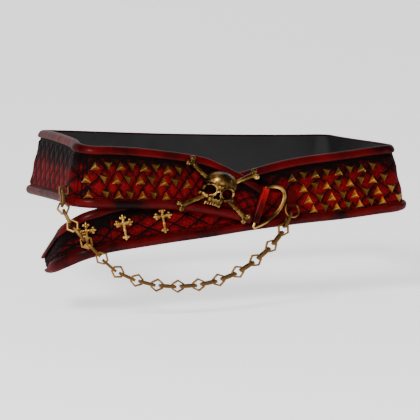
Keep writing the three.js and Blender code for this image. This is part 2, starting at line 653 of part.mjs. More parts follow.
// Frame on the hinge line: x along the line, y up and z out, leaning out by an angle from upright
function hingeFrame(origin, lean) {
  const x = HINGE_DIRECTION.clone();
  const z = new THREE.Vector3(0, -1, 0).addScaledVector(x, x.y).normalize();
  const y = z.clone().cross(x);
  const turn = new THREE.Matrix4().makeRotationAxis(x, -lean);
  return turn.multiply(new THREE.Matrix4().makeBasis(x, y, z)).setPosition(origin);
}

// Leather tab: two layers that fold round the small ring's bar
function addRingTab() {
  const { width, drop, fold, leather } = TAB;
  const outline = [];
  const steps = 9;
  const start = Math.asin((leather - fold) / fold);
  for (let i = 0; i <= steps; i += 1) {
    const a = start + ((1.5 * Math.PI - start) * i) / steps;
    outline.push(new THREE.Vector2(fold * Math.cos(a), fold * Math.sin(a)));
  }
  outline.push(new THREE.Vector2(drop, -fold), new THREE.Vector2(drop, leather - fold));
  const shape = new THREE.Shape(outline);
  const bore = new THREE.Path();
  bore.absarc(0, 0, SMALL_RING.wire + 0.4, 0, 2 * Math.PI, true);
  shape.holes.push(bore);
  const geometry = new THREE.ExtrudeGeometry(shape, { depth: width, bevelEnabled: false, curveSegments: 5 });
  geometry.translate(0, 0, -width / 2);
  const upright = new THREE.Matrix4().makeBasis(
    new THREE.Vector3(0, 1, 0),
    new THREE.Vector3(0, 0, 1),
    new THREE.Vector3(1, 0, 0),
  );
  geometry.applyMatrix4(upright);
  geometry.applyMatrix4(hingeFrame(HINGE_RIGHT, FLARE));
  add('ring_tab', fromManifold(toManifold(geometry)), FINISH.binding);
}

// Small ring: its bar turns in the tab, and the last chain link hangs on the lower left of its bow
const SMALL_PATH = [
  [5.2, 0], [7, -4.5], [6.7, -9], [5.1, -11.6], [2, -13.6], [-2, -13.6], [-5.1, -11.6], [-6.7, -9], [-7, -4.5], [-5.2, 0],
].map(([x, y]) => new THREE.Vector2(x, y));
const CHAIN_HOOK = SMALL_PATH[5].clone().lerp(SMALL_PATH[6], 0.5);

function addSmallRing() {
  const geometry = hoopGeometry(SMALL_PATH, SMALL_RING.wire, SMALL_RING.wire, 6);
  geometry.applyMatrix4(hingeFrame(HINGE_RIGHT, SMALL_RING.lean));
  add('small_ring', geometry, FINISH.bronze);
}

// Round wire along an open path, mitred at its corners
function wireGeometry(path, radius) {
  const steps = path.slice(1).map((p, i) => p.clone().sub(path[i]).normalize());
  const side = new THREE.Vector3(0, 0, 1).cross(steps[0]).normalize();
  const other = steps[0].clone().cross(side);
  let ring = circle(6).map((p) => {
    return path[0].clone().addScaledVector(side, radius * p.x).addScaledVector(other, radius * p.y);
  });
  const rings = [ring];
  for (let i = 1; i < path.length; i += 1) {
    const along = steps[i - 1];
    const normal = along.clone().add(steps[i] ?? along).normalize();
    ring = ring.map((v) => v.clone().addScaledVector(along, path[i].clone().sub(v).dot(normal) / along.dot(normal)));
    rings.push(ring);
  }
  return loft(rings, { profile: circle(6) });
}

// Staple: a bar on the hinge line, bent up at both ends and back into the leather
function addStaple() {
  const { s, z, wire, halfSpan, rise } = STAPLE;
  const face = readStrap('out', GIRTH + s) + QUILT_RISE + SEAM_GAP - rise * Math.tan(FLARE);
  const middle = beltPoint(s, z, 0);
  const inward = beltPoint(s, z, -1).sub(middle);
  const ends = [-1, 1].map((side) => {
    const low = HINGE_LEFT.clone().addScaledVector(HINGE_DIRECTION, side * halfSpan);
    const high = low.clone().add(new THREE.Vector3(0, 0, rise));
    const depth = middle.clone().sub(high).dot(inward) - face;
    return [low, high, high.clone().addScaledVector(inward, depth)];
  });
  add('chain_staple', wireGeometry([...ends[0].reverse(), ...ends[1]], wire), FINISH.bronze);
}

// One link: a flat hoop with square-cut ends, from the half sizes of its middle line
function linkGeometry({ half, flat, wide }) {
  const path = [[half, -flat], [half, flat], [0, wide], [-half, flat], [-half, -flat], [0, -wide]];
  return hoopGeometry(path.map(([x, y]) => new THREE.Vector2(x, y)), LINK.band / 2, LINK.depth / 2);
}

// Swag chain: long links stand edge out and round links lie flat, turn about
function addChain() {
  const end = new THREE.Vector3(CHAIN_HOOK.x, CHAIN_HOOK.y, 0).applyMatrix4(hingeFrame(HINGE_RIGHT, SMALL_RING.lean));
  const line = CHAIN_LINE.map(({ s, z, out }) => beltPoint(s, z, out, Math.max(z, FREE_Z)));
  const curve = new THREE.CatmullRomCurve3([HINGE_LEFT, ...line, end], false, 'centripetal');
  curve.arcLengthDivisions = 900;
  const length = curve.getLength();
  const roundInner = ROUND_LINK.half - LINK.band / 2;
  const spare = roundInner + SMALL_RING.wire;
  const pitch = (length + 2 * spare) / (LINKS + 1);
  const longHalf = pitch + LINK.band / 2 + LINK.play - roundInner;
  const shapes = [{ ...LONG_LINK, half: longHalf }, ROUND_LINK];
  const outward = new THREE.Vector3(0, -1, 0).addScaledVector(HINGE_DIRECTION, HINGE_DIRECTION.y).normalize();
  const placeAt = (distance) => curve.getPointAt(THREE.MathUtils.clamp(distance / length, 0, 1));
  for (let i = 0; i < LINKS; i += 1) {
    const distance = pitch - spare + i * pitch;
    const along = placeAt(distance + pitch).sub(placeAt(distance - pitch)).normalize();
    const normal = outward.clone().addScaledVector(along, -outward.dot(along)).normalize();
    const across = along.clone().cross(normal);
    const basis = new THREE.Matrix4();
    if (i % 2 === 0) basis.makeBasis(along, normal, across);
    else basis.makeBasis(along, across, normal.clone().negate());
    const geometry = linkGeometry(shapes[i % 2]);
    geometry.applyMatrix4(basis.setPosition(placeAt(distance)));
    add(`link_${String(i + 1).padStart(2, '0')}`, geometry, FINISH.brass);
  }
}

addWalls();
addLinings();
addBindings();
addSkull();
addBones();
addCrosses();
addRingStrap();
addBigRing();
addRingTab();
addSmallRing();
addStaple();
addChain();

export default belt;
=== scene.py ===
"""Spiked leather hip belt: the visible belt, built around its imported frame."""

import logging
import math
from collections.abc import Iterator
from contextlib import contextmanager
from dataclasses import dataclass
from enum import Enum

import bpy
import numpy as np
from mathutils import Matrix, Vector


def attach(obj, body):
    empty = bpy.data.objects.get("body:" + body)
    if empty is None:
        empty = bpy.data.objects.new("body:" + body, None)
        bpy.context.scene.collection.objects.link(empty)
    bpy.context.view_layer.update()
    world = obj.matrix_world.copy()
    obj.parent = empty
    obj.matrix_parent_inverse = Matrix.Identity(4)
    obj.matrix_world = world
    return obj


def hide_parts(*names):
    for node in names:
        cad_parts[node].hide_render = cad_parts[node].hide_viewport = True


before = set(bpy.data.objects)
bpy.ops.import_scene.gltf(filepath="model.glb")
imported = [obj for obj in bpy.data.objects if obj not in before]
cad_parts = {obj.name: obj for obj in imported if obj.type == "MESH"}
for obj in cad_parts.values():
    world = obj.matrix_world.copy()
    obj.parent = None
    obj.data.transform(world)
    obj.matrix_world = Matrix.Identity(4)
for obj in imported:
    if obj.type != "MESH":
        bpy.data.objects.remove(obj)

LOG = logging.getLogger("spiked_belt")
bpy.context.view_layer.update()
MM = 0.001
Colour = tuple[float, float, float]
Place = tuple[float, float, float]
Array = np.ndarray
Piece = bpy.types.Object
Material = bpy.types.Material
Socket = bpy.types.NodeSocket


class Finish(Enum):
    """The belt's finishes, by the record's slot names."""

    QUILTED = "quilted_leather"
    BINDING = "binding_leather"
    LINING = "lining_leather"
    BRIGHT = "bright_brass"
    AGED = "aged_brass"


class Edge(Enum):
    """The two long edges of the strap."""

    TOP = "top"
    BOTTOM = "bottom"


class Nodes:
    """Shader nodes of one new material, with its object coordinates as place."""

    def __init__(self, name: str) -> None:
        """Creates the material by its name."""
        self.material = bpy.data.materials.new(name)
        self.material.use_nodes = True
        self.tree = self.material.node_tree
        self.place = self.add("ShaderNodeTexCoord").outputs["Object"]

    def fill(self, node: bpy.types.Node, **settings: object) -> None:
        """Sets a node's properties and inputs.

        Args:
            node: The node.
            settings: Values or sockets, by property or by input name with underscores for spaces.
        """
        for key, value in settings.items():
            name = key.replace("_", " ")
            if name in node.inputs:
                self.feed(node.inputs[name], value)
            else:
                setattr(node, key, value)

    def feed(self, slot: Socket, value: object) -> None:
        """Links a socket to an input, or sets the input to a value."""
        if isinstance(value, Socket):
            self.tree.links.new(value, slot)
        else:
            slot.default_value = value

    def add(self, kind: str, **settings: object) -> bpy.types.Node:
        """Adds a node of a kind, with the settings that fill() takes, and returns it."""
        node = self.tree.nodes.new(kind)
        self.fill(node, **settings)
        return node

    def finish(self, **settings: object) -> Material:
        """Fills the surface shader and returns the material."""
        self.fill(self.tree.nodes["Principled BSDF"], **settings)
        return self.material

    def math(self, operation: str, first: Socket, second: object) -> Socket:
        """Adds a math node on a socket and a second socket or number, and returns its result."""
        node = self.add("ShaderNodeMath", operation=operation)
        self.feed(node.inputs[0], first)
        self.feed(node.inputs[1], second)
        return node.outputs[0]

    def weigh(self, *shares: tuple[Socket, float]) -> Socket:
        """Adds up sockets, each times its weight."""
        total = None
        for socket, weight in shares:
            part = self.math("MULTIPLY", socket, weight)
            total = part if total is None else self.math("ADD", total, part)
        return total

    def centred(self, value: Socket) -> Socket:
        """Moves a value from 0 to 1 so that it lies around 0."""
        return self.math("SUBTRACT", value, 0.5)

    def noise(self, scale: float, detail: float) -> Socket:
        """Adds a noise texture and returns its factor socket."""
        settings = {"Scale": scale, "Detail": detail, "Roughness": 0.6}
        return self.add("ShaderNodeTexNoise", Vector=self.place, **settings).outputs["Fac"]

    def ramp(self, value: Socket, stops: list[tuple[float, Colour]]) -> Socket:
        """Adds a colour ramp.

        Args:
            value: The socket that drives the ramp.
            stops: Position and linear colour of each stop.

        Returns:
            The colour socket.
        """
        node = self.add("ShaderNodeValToRGB", Fac=value)
        elements = node.color_ramp.elements
        while len(elements) < len(stops):
            elements.new(0.5)
        for element, (position, colour) in zip(elements, stops):
            element.position = position
            element.color = (*colour, 1.0)
        return node.outputs["Color"]

    def bump(self, height: Socket, distance: float, strength: float) -> Socket:
        """Adds a bump node and returns its normal socket."""
        return self.add("ShaderNodeBump", Height=height, Distance=distance, Strength=strength).outputs["Normal"]


@dataclass(frozen=True)
class TooledLeather:
    """Red leather with black antiquing rubbed into its tooling, and painted shade and light from its panel."""

    name: str = "tooled_red_leather"
    black: Colour = (0.004, 0.002, 0.002)
    deep: Colour = (0.022, 0.001, 0.0014)
    red: Colour = (0.066, 0.0016, 0.0026)
    bright: Colour = (0.13, 0.0036, 0.0056)
    cloud_scale: float = 38.0
    streak_scale: float = 420.0
    cell_scale: float = 1150.0
    grain_depth: float = 0.00035
    roughness: float = 0.38
    roughness_spread: float = 0.35
    gloss: float = 0.012

    def build(self) -> Material:
        """Builds the material from the panel's tooling attribute and noise."""
        nodes = Nodes(self.name)
        tooling = nodes.add("ShaderNodeAttribute", attribute_name="tooling").outputs["Color"]
        # The attribute carries the grooves in red and the panel's painted shade and light in green
        groove, glow = nodes.add("ShaderNodeSeparateColor", Color=tooling).outputs[:2]
        cloud = nodes.noise(self.cloud_scale, 5.0)
        streak = nodes.noise(self.streak_scale, 6.0)
        # Painted shade and light, random tone and the antiqued grooves set the colour
        wear_and_painted_shade = nodes.weigh((glow, 1.0), (nodes.centred(cloud), 0.9), (nodes.centred(streak), 1.5), (groove, -0.75))
        cells = nodes.add(
            "ShaderNodeTexVoronoi", Vector=nodes.place, Scale=self.cell_scale, feature="DISTANCE_TO_EDGE"
        )
        grain = nodes.weigh((cells.outputs["Distance"], 0.8), (streak, 0.9))
        return nodes.finish(
            Base_Color=nodes.ramp(wear_and_painted_shade, [(0.2, self.black), (0.42, self.deep), (0.68, self.red), (1.0, self.bright)]),
            Normal=nodes.bump(grain, self.grain_depth, 0.55),
            Roughness=nodes.math("ADD", nodes.weigh((streak, self.roughness_spread)), self.roughness),
            Specular_IOR_Level=self.gloss,
        )


@dataclass(frozen=True)
class SmoothLeather:
    """Glazed leather of the bindings, the ring loop and the tab, with painted light that makes it paler towards its
    top.
    """

    name: str = "glazed_binding_leather"
    dark: Colour = (0.006, 0.001, 0.0012)
    body: Colour = (0.044, 0.001, 0.0015)
    light: Colour = (0.095, 0.0018, 0.003)
    roughness: float = 0.46
    painted_light_top: float = 1.0
    painted_light_bottom: float = -1.0
    painted_light_share: float = 0.16
    crease_depth: float = 0.0002

    def build(self) -> Material:
        """Builds the material from soft clouds, painted light that is paler higher up, and a fine crease bump."""
        nodes = Nodes(self.name)
        crease = nodes.noise(700.0, 5.0)
        height = nodes.add("ShaderNodeSeparateXYZ", Vector=nodes.place).outputs["Z"]
        # Painted light and shade: paler towards the top, darker towards the bottom
        painted_light = nodes.add(
            "ShaderNodeMapRange", Value=height, From_Min=self.painted_light_bottom, From_Max=self.painted_light_top,
            To_Min=-self.painted_light_share, To_Max=self.painted_light_share,
        )
        tone = nodes.weigh((nodes.noise(26.0, 4.0), 0.8), (crease, 0.2), (painted_light.outputs[0], 1.0))
        return nodes.finish(
            Base_Color=nodes.ramp(tone, [(0.36, self.dark), (0.48, self.body), (0.66, self.light)]),
            Normal=nodes.bump(crease, self.crease_depth, 0.4),
            Roughness=self.roughness, Specular_IOR_Level=0.01, Coat_Weight=0.09, Coat_Roughness=0.3,
        )


@dataclass(frozen=True)
class BlackLining:
    """Matt black split leather inside the loop."""

    name: str = "black_lining_leather"
    dark: Colour = (0.004, 0.004, 0.004)
    pale: Colour = (0.013, 0.013, 0.013)
    nap_depth: float = 0.0002

    def build(self) -> Material:
        """Builds the material from a fine nap."""
        nodes = Nodes(self.name)
        nap = nodes.noise(900.0, 4.0)
        tone = nodes.weigh((nap, 0.35), (nodes.noise(14.0, 3.0), 0.65))
        return nodes.finish(
            Base_Color=nodes.ramp(tone, [(0.3, self.dark), (0.7, self.pale)]),
            Normal=nodes.bump(nap, self.nap_depth, 0.35),
            Roughness=0.42, Specular_IOR_Level=0.16,
        )


@dataclass(frozen=True)
class CastBrass:
    """Cast brass with brown patina in its hollows and rubbed high points."""

    name: str
    patina: Colour
    body: Colour
    shine: Colour
    roughness: float
    cloud_scale: float
    patina_share: float
    pit_depth: float = 0.00025

    def build(self) -> Material:
        """Builds the material from clouds of patina and the surface's own curvature."""
        nodes = Nodes(self.name)
        cloud = nodes.noise(self.cloud_scale, 4.0)
        fine = nodes.noise(900.0, 4.0)
        rubbed = nodes.add("ShaderNodeNewGeometry").outputs["Pointiness"]
        tone = nodes.weigh((cloud, 1.0), (nodes.centred(rubbed), 4.5), (nodes.centred(fine), 0.3))
        share = self.patina_share
        stops = [(share - 0.16, self.patina), (share, self.body), (share + 0.2, self.shine)]
        return nodes.finish(
            Base_Color=nodes.ramp(tone, stops), Normal=nodes.bump(fine, self.pit_depth, 0.35),
            Metallic=1.0, Roughness=self.roughness,
        )


@dataclass(frozen=True)
class StudioPaper:
    """Pale paper of the floor and backdrop."""

    name: str = "pale_paper"
    dark: Colour = (0.86, 0.86, 0.86)
    pale: Colour = (0.9, 0.9, 0.9)
    glow: float = 1.05

    def build(self) -> Material:
        """Builds a plain pale material with a trace of fibre."""
        nodes = Nodes(self.name)
        return nodes.finish(
            Base_Color=nodes.ramp(nodes.noise(3.0, 2.0), [(0.3, self.dark), (0.7, self.pale)]), Roughness=0.9,
            Emission_Color=(1.0, 1.0, 1.0, 1.0), Emission_Strength=self.glow,
        )


class Palette:
    """Every material of the scene, built once."""

    # Columns: name, patina, body, shine, roughness, cloud scale and share of patina
    brasses = {
        "studs": CastBrass(
            "stud_brass", (0.4, 0.18, 0.035), (0.72, 0.37, 0.075), (0.92, 0.54, 0.13), 0.3, 130.0, 0.36
        ),
        # Painted shade: a darker copy of the stud brass for the studs that point down
        "dark_studs": CastBrass(
            "painted_shade_stud_brass", (0.02, 0.008, 0.002), (0.075, 0.034, 0.007), (0.2, 0.1, 0.024), 0.42, 130.0, 0.48
        ),
        "crosses": CastBrass(
            "cross_brass", (0.04, 0.016, 0.004), (0.25, 0.12, 0.026), (0.52, 0.28, 0.07), 0.38, 110.0, 0.46
        ),
        "chain": CastBrass(
            "chain_brass", (0.02, 0.008, 0.002), (0.1, 0.043, 0.01), (0.27, 0.135, 0.034), 0.42, 110.0, 0.5
        ),
        "bars": CastBrass(
            "chain_bar_brass", (0.012, 0.005, 0.002), (0.045, 0.02, 0.006), (0.13, 0.062, 0.018), 0.48, 150.0, 0.52
        ),
        "aged": CastBrass(
            "aged_brass", (0.008, 0.004, 0.0015), (0.11, 0.053, 0.013), (0.55, 0.31, 0.085), 0.36, 60.0, 0.56
        ),
    }
    # The ring loop's painted light: bright scarlet over its upper part, near black below
    scarlet_loop = SmoothLeather(
        "scarlet_loop_leather", dark=(0.006, 0.001, 0.001), body=(0.08, 0.0014, 0.002), light=(0.3, 0.005, 0.007),
        roughness=0.42, painted_light_top=-0.046, painted_light_bottom=-0.072,
    )

    def __init__(self) -> None:
        """Builds the materials."""
        self.tooled = TooledLeather().build()
        self.glazed = SmoothLeather().build()
        self.scarlet = self.scarlet_loop.build()
        self.lining = BlackLining().build()
        self.brass = {name: brass.build() for name, brass in self.brasses.items()}
        self.paper = StudioPaper().build()


@dataclass
class Assembly:
    """A sub-assembly, which takes its materials from the palette."""

    palette: Palette


@dataclass(frozen=True)
class Waist:
    """Plan of the loop: a rounded rectangle, walked from the front centre towards +X."""

    width: float = 345.0
    depth: float = 196.0
    corner: float = 16.0
    flare: float = math.tan(math.radians(13.0))

    @property
    def run_x(self) -> float:
        """Half of the straight front, in millimetres."""
        return self.width / 2 - self.corner

    @property
    def run_y(self) -> float:
        """Half of a straight side, in millimetres."""
        return self.depth / 2 - self.corner

    @property
    def arc(self) -> float:
        """Length of one corner."""
        return math.pi / 2 * self.corner

    @property
    def girth(self) -> float:
        """Length all round."""
        return 4 * (self.run_x + self.run_y + self.arc)

    def runs(self) -> list[tuple[float, float, float, float, bool]]:
        """Length, start or centre, direction in degrees, and whether it bends, of each run."""
        x, y, a = self.run_x, self.run_y, self.arc
        w, d = self.width / 2, self.depth / 2
        return [
            (x, 0.0, -d, 0.0, False), (a, x, -y, -90.0, True), (2 * y, w, -y, 90.0, False),
            (a, x, y, 0.0, True), (2 * x, x, d, 180.0, False), (a, -x, y, 90.0, True),
            (2 * y, -w, y, 270.0, False), (a, -x, -y, 180.0, True), (x, -x, -d, 0.0, False),
        ]

    def at(self, s: Array) -> tuple[Array, Array]:
        """Finds points on the plan.

        Args:
            s: Distances round the waist, in millimetres.

        Returns:
            The points and the outward directions, each of shape (n, 2).
        """
        left = np.mod(s, self.girth)
        point = np.zeros((len(left), 2))
        outward = np.zeros((len(left), 2))
        start = 0.0
        for length, x, y, degrees, bends in self.runs():
            here = (left >= start - 1e-9) & (left <= start + length + 1e-9)
            along = left[here] - start
            if bends:
                angle = math.radians(degrees) + along / self.corner
                out = np.stack([np.cos(angle), np.sin(angle)], 1)
                point[here] = out * self.corner + (x, y)
            else:
                angle = math.radians(degrees)
                out = np.tile((math.sin(angle), -math.cos(angle)), (len(along), 1))
                point[here] = np.outer(along, (math.cos(angle), math.sin(angle))) + (x, y)
            outward[here] = out
            start += length
        return point, outward

    def place(self, s: Array, z: Array, out: Array) -> Array:
        """Places points on the flared belt, in metres.

        Args:
            s: Distances round the waist.
            z: Heights.
            out: Distances out from the plan.

        Returns:
            Points of shape (n, 3), in metres.
        """
        s, z, out = (np.asarray(v, float) for v in (s, z, out))
        point, outward = self.at(s)
        flat = point + outward * (out - self.flare * z)[:, None]
        return np.column_stack([flat, z]) * MM

    def frame(self, s: float, z: float, out: float) -> Matrix:
        """Frame on the belt's surface: x along the strap, y up it and z out, in metres."""
        here, right, left, up, down = self.place(
            np.array([s, s + 1, s - 1, s, s]), np.array([z, z, z, z + 1, z - 1]), np.full(5, out)
        )
        x = Vector(right - left).normalized()
        rise = Vector(up - down).normalized()
        normal = x.cross(rise).normalized()
        y = normal.cross(x)
        matrix = Matrix((x, y, normal)).transposed().to_4x4()
        matrix.translation = Vector(here)
        return matrix


WAIST = Waist()
GIRTH = WAIST.girth
RIGHT_CORNER = WAIST.run_x + WAIST.arc / 2
RIGHT_SEAM = RIGHT_CORNER + 7.0
BACK_RIGHT = RIGHT_CORNER + 2 * WAIST.run_y + WAIST.arc
BACK_LEFT = GIRTH - BACK_RIGHT
LEFT_CORNER = GIRTH - RIGHT_CORNER
SEAM_GAP = 0.35
WALL = 3.0
OVERLAP = 8.0
BEAD_PROUD = 3.2
BEAD_HEIGHT = 7.0

# Columns: top edge's distance round the waist and height, bottom edge's the same, and distance out
STRAP_ROWS = (
    (-223.5, -113.0, -191.0, -125.4, 0.0),
    (-211.0, -103.7, -181.5, -122.5, 0.0),
    (-197.0, -93.5, -173.5, -115.0, 0.0),
    (-185.0, -83.5, -166.5, -107.5, -0.3),
    (-176.0, -73.3, -160.5, -103.0, -0.6),
    (-164.4, -62.0, -153.5, -100.2, -1.0),
    (-150.0, -56.3, -145.0, -98.8, -1.0),
    (-130.0, -52.5, -130.0, -97.0, -1.0),
    (-82.0, -43.5, -82.0, -92.0, -1.0),
    (-40.0, -35.0, -40.0, -88.0, -0.5),
    (-3.0, -27.0, -3.0, -83.8, 0.0),
    (35.0, -18.3, 35.0, -80.4, 0.0),
    (63.0, -13.7, 63.0, -78.2, 0.0),
    (110.0, -9.2, 110.0, -75.4, 0.0),
    (WAIST.run_x, -4.6, WAIST.run_x, -71.2, 0.0),
    (WAIST.run_x + WAIST.arc, -3.8, WAIST.run_x + WAIST.arc, -69.5, 0.0),
    (BACK_RIGHT, -7.0, BACK_RIGHT, -72.0, 0.0),
    (GIRTH / 2, -2.5, GIRTH / 2, -68.0, 0.0),
    (BACK_LEFT, 6.5, BACK_LEFT, -60.5, 0.0),
    (GIRTH - 300, 8.6, GIRTH - 300, -57.5, 0.0),
    (GIRTH - 200, 8.3, GIRTH - 200, -53.0, 0.5),
    (GIRTH - 174, 6.4, GIRTH - 174, -52.8, 3.6),
    (GIRTH - 160, 4.5, GIRTH - 160, -53.8, 6.6),
    (GIRTH - 140, 3.7, GIRTH - 140, -55.0, OVERLAP),
    (GIRTH - 110, 1.0, GIRTH - 110, -56.2, OVERLAP),
    (GIRTH - 85, -2.4, GIRTH - 85, -57.6, OVERLAP),
    (GIRTH - 61, -6.2, GIRTH - 61, -60.9, OVERLAP),
    (GIRTH - 41, -10.8, GIRTH - 43, -64.2, OVERLAP),
    (GIRTH - 24, -18.5, GIRTH - 27, -67.5, OVERLAP),
    (GIRTH - 8, -26.6, GIRTH - 14, -70.6, OVERLAP),
    (GIRTH + 4.6, -33.8, GIRTH - 6.5, -72.8, OVERLAP),
    (GIRTH + 16, -41.3, GIRTH + 0.6, -75.2, OVERLAP),
)


class Strap:
    """The long strap, read smoothly from its table of sections."""

    def __init__(self) -> None:
        """Prepares the table and the slopes between its rows."""
        self.rows = np.array(STRAP_ROWS)
        self.stations = (self.rows[:, 0] + self.rows[:, 2]) / 2
        count = len(self.rows)
        before = np.maximum(np.arange(count) - 1, 0)
        after = np.minimum(np.arange(count) + 1, count - 1)
        span = (self.stations[after] - self.stations[before])[:, None]
        self.slopes = (self.rows[after] - self.rows[before]) / span

    @property
    def ends(self) -> tuple[float, float]:
        """Stations of the tail end and the ring end."""
        return float(self.stations[0]), float(self.stations[-1])

    def read(self, q: Array) -> Array:
        """Reads the sections at stations q, as rows of the table's five columns."""
        i = np.clip(np.searchsorted(self.stations, q) - 1, 0, len(self.stations) - 2)
        span = (self.stations[i + 1] - self.stations[i])[:, None]
        t = (q - self.stations[i])[:, None] / span
        rise = self.rows[i + 1] - self.rows[i]
        cubic = (self.slopes[i] * span - rise) * (1 - t) - (self.slopes[i + 1] * span - rise) * t
        return self.rows[i] + rise * t + cubic * t * (1 - t)

    def widths(self, q: Array) -> Array:
        """Widths of the strap at stations q, in millimetres."""
        row = self.read(q)
        return np.hypot(row[:, 0] - row[:, 2], row[:, 1] - row[:, 3])

    def across(self, q: Array, share: Array) -> Array:
        """Distances round the waist, heights and distances out, at stations and shares of the width."""
        top_s, top_z, low_s, low_z, out = self.read(q).T
        return np.stack([low_s + (top_s - low_s) * share, low_z + (top_z - low_z) * share, out])

    def points(self, q: Array, share: Array, lift: Array) -> Array:
        """Places points on the strap.

        Args:
            q: Stations.
            share: Shares of the width, 0 at the bottom edge and 1 at the top.
            lift: Distances out from the outer face.

        Returns:
            Points of shape (n, 3), in metres.
        """
        s, z, out = self.across(q, share)
        return WAIST.place(s, z, out + lift)

    def cut(self, start: float, stop: float) -> tuple[float, float]:
        """Measures the flat piece between two stations.

        Args:
            start: Station where it starts.
            stop: Station where it stops.

        Returns:
            Its length along the middle, and its area, in metres.
        """
        across, along = np.meshgrid(np.linspace(0, 1, 13), np.linspace(start, stop, 121))
        net = self.points(along.ravel(), across.ravel(), np.zeros(along.size)).reshape(121, 13, 3)
        middle = np.linalg.norm(np.diff(net[:, 6], axis=0), axis=1).sum()
        first = np.cross(net[1:, :-1] - net[:-1, :-1], net[:-1, 1:] - net[:-1, :-1])
        second = np.cross(net[1:, 1:] - net[1:, :-1], net[1:, 1:] - net[:-1, 1:])
        area = (np.linalg.norm(first, axis=2) + np.linalg.norm(second, axis=2)).sum() / 2
        return float(middle), float(area)

    def frame(self, q: float, share: float) -> Matrix:
        """Surface frame on the strap's outer face at a station and share of the width."""
        s, z, out = self.across(np.array([q]), share)
        return WAIST.frame(s[0], z[0], out[0])


STRAP = Strap()
TAIL_END, RING_END = STRAP.ends
CROSSING = -12.0
TAIL_TURN = -146.0


def deselect_all() -> None:
    """Leaves nothing selected and nothing active."""
    if bpy.context.object and bpy.context.object.mode != "OBJECT":
        bpy.ops.object.mode_set(mode="OBJECT")
    bpy.ops.object.select_all(action="DESELECT")


def activate(piece: Piece) -> None:
    """Makes a piece the only selected and active object."""
    deselect_all()
    piece.select_set(True)
    bpy.context.view_layer.objects.active = piece


def copy_of(source: Piece, name: str) -> Piece:
    """Copies a piece with its own mesh, by a new name."""
    piece = source.copy()
    piece.data = source.data.copy()
    piece.name = name
    bpy.context.collection.objects.link(piece)
    return piece


def turned(degrees: float) -> Matrix:
    """Turn about the z axis."""
    return Matrix.Rotation(math.radians(degrees), 4, "Z")


@contextmanager
def editing(piece: Piece) -> Iterator[None]:
    """Opens a piece in edit mode with all of it selected, and closes it afterwards."""
    activate(piece)
    bpy.ops.object.mode_set(mode="EDIT")
    bpy.ops.mesh.select_all(action="SELECT")
    yield
    bpy.ops.object.mode_set(mode="OBJECT")


def apply_modifier(piece: Piece, kind: str, **settings: object) -> None:
    """Adds a modifier with its settings and applies it.

    Args:
        piece: The piece to change.
        kind: The modifier's type.
        settings: The modifier's properties.
    """
    activate(piece)
    modifier = piece.modifiers.new(kind.lower(), kind)
    for key, value in settings.items():
        setattr(modifier, key, value)
    bpy.ops.object.modifier_apply(modifier=modifier.name)


def tidy_surface(piece: Piece, merge: float = 1e-6) -> None:
    """Merges points nearer than merge metres, and turns a closed surface's faces outwards."""
    with editing(piece):
        bpy.ops.mesh.remove_doubles(threshold=merge)
        bpy.ops.mesh.dissolve_degenerate(threshold=merge)
        bpy.ops.mesh.normals_make_consistent(inside=False)


def dress(piece: Piece, material: Material, body: str, angle: float = 40.0) -> None:
    """Gives a piece its finish, its smooth shading and the body that it moves with.

    Args:
        piece: The finished piece.
        material: Its material.
        body: The body that it rides on.
        angle: Edges sharper than this many degrees stay sharp.
    """
    piece.data.materials.clear()
    piece.data.materials.append(material)
    activate(piece)
    bpy.ops.object.shade_smooth_by_angle(angle=math.radians(angle))
    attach(piece, body)
    LOG.info("%s: %d faces", piece.name, len(piece.data.polygons))


def join_as(name: str, parts: list[Piece]) -> Piece:
    """Joins parts into one piece at the origin.

    Args:
        name: The new piece's name.
        parts: The parts, whose own places are applied first.

    Returns:
        The joined piece.
    """
    deselect_all()
    for part in parts:
        part.select_set(True)
    bpy.context.view_layer.objects.active = parts[0]
    bpy.ops.object.transform_apply(location=True, rotation=True, scale=True)
    if len(parts) > 1:
        bpy.ops.object.join()
    piece = bpy.context.object
    piece.name = piece.data.name = name
    return piece


def set_points(piece: Piece, points: Array) -> None:
    """Moves every point of a piece to its place."""
    piece.data.vertices.foreach_set("co", points.ravel())
    piece.data.update()


@dataclass
class Stretch:
    """A stretch of the strap between two stations."""

    name: str
    start: float
    stop: float

    def stations(self, step: float) -> Array:
        """Stations at most a step apart, clear of the seams at both ends."""
        count = math.ceil((self.stop - self.start) / step)
        return np.linspace(self.start + SEAM_GAP / 2, self.stop - SEAM_GAP / 2, count + 1)

    def grid(self, q: Array, rows: int) -> tuple[Piece, Array, Array]:
        """Adds a flat grid of points and numbers them.

        Args:
            q: Station of each column.
            rows: Number of rows of faces.

        Returns:
            The piece, and the column and row number of each of its points, from 0.
        """
        deselect_all()
        size = (len(q) - 1, rows)
        bpy.ops.mesh.primitive_grid_add(x_subdivisions=size[0], y_subdivisions=size[1], size=1.0, location=(0, 0, 0))
        piece = bpy.context.object
        piece.name = piece.data.name = self.name
        flat = np.empty(len(piece.data.vertices) * 3)
        piece.data.vertices.foreach_get("co", flat)
        column, row = np.rint((flat.reshape(-1, 3)[:, :2] + 0.5) * size).astype(int).T
        return piece, column, row

    def thicken(self, piece: Piece, thickness: float) -> None:
        """Turns an open surface outwards and gives it a thickness, in millimetres, inwards."""
        here = STRAP.frame((self.start + self.stop) / 2, 0.5)
        nearest = min(piece.data.polygons, key=lambda face: (face.center - here.translation).length)
        if nearest.normal.dot(here.to_3x3() @ Vector((0, 0, 1))) < 0:
            with editing(piece):
                bpy.ops.mesh.flip_normals()
        apply_modifier(piece, "SOLIDIFY", thickness=thickness * MM, offset=-1.0, use_even_offset=False)


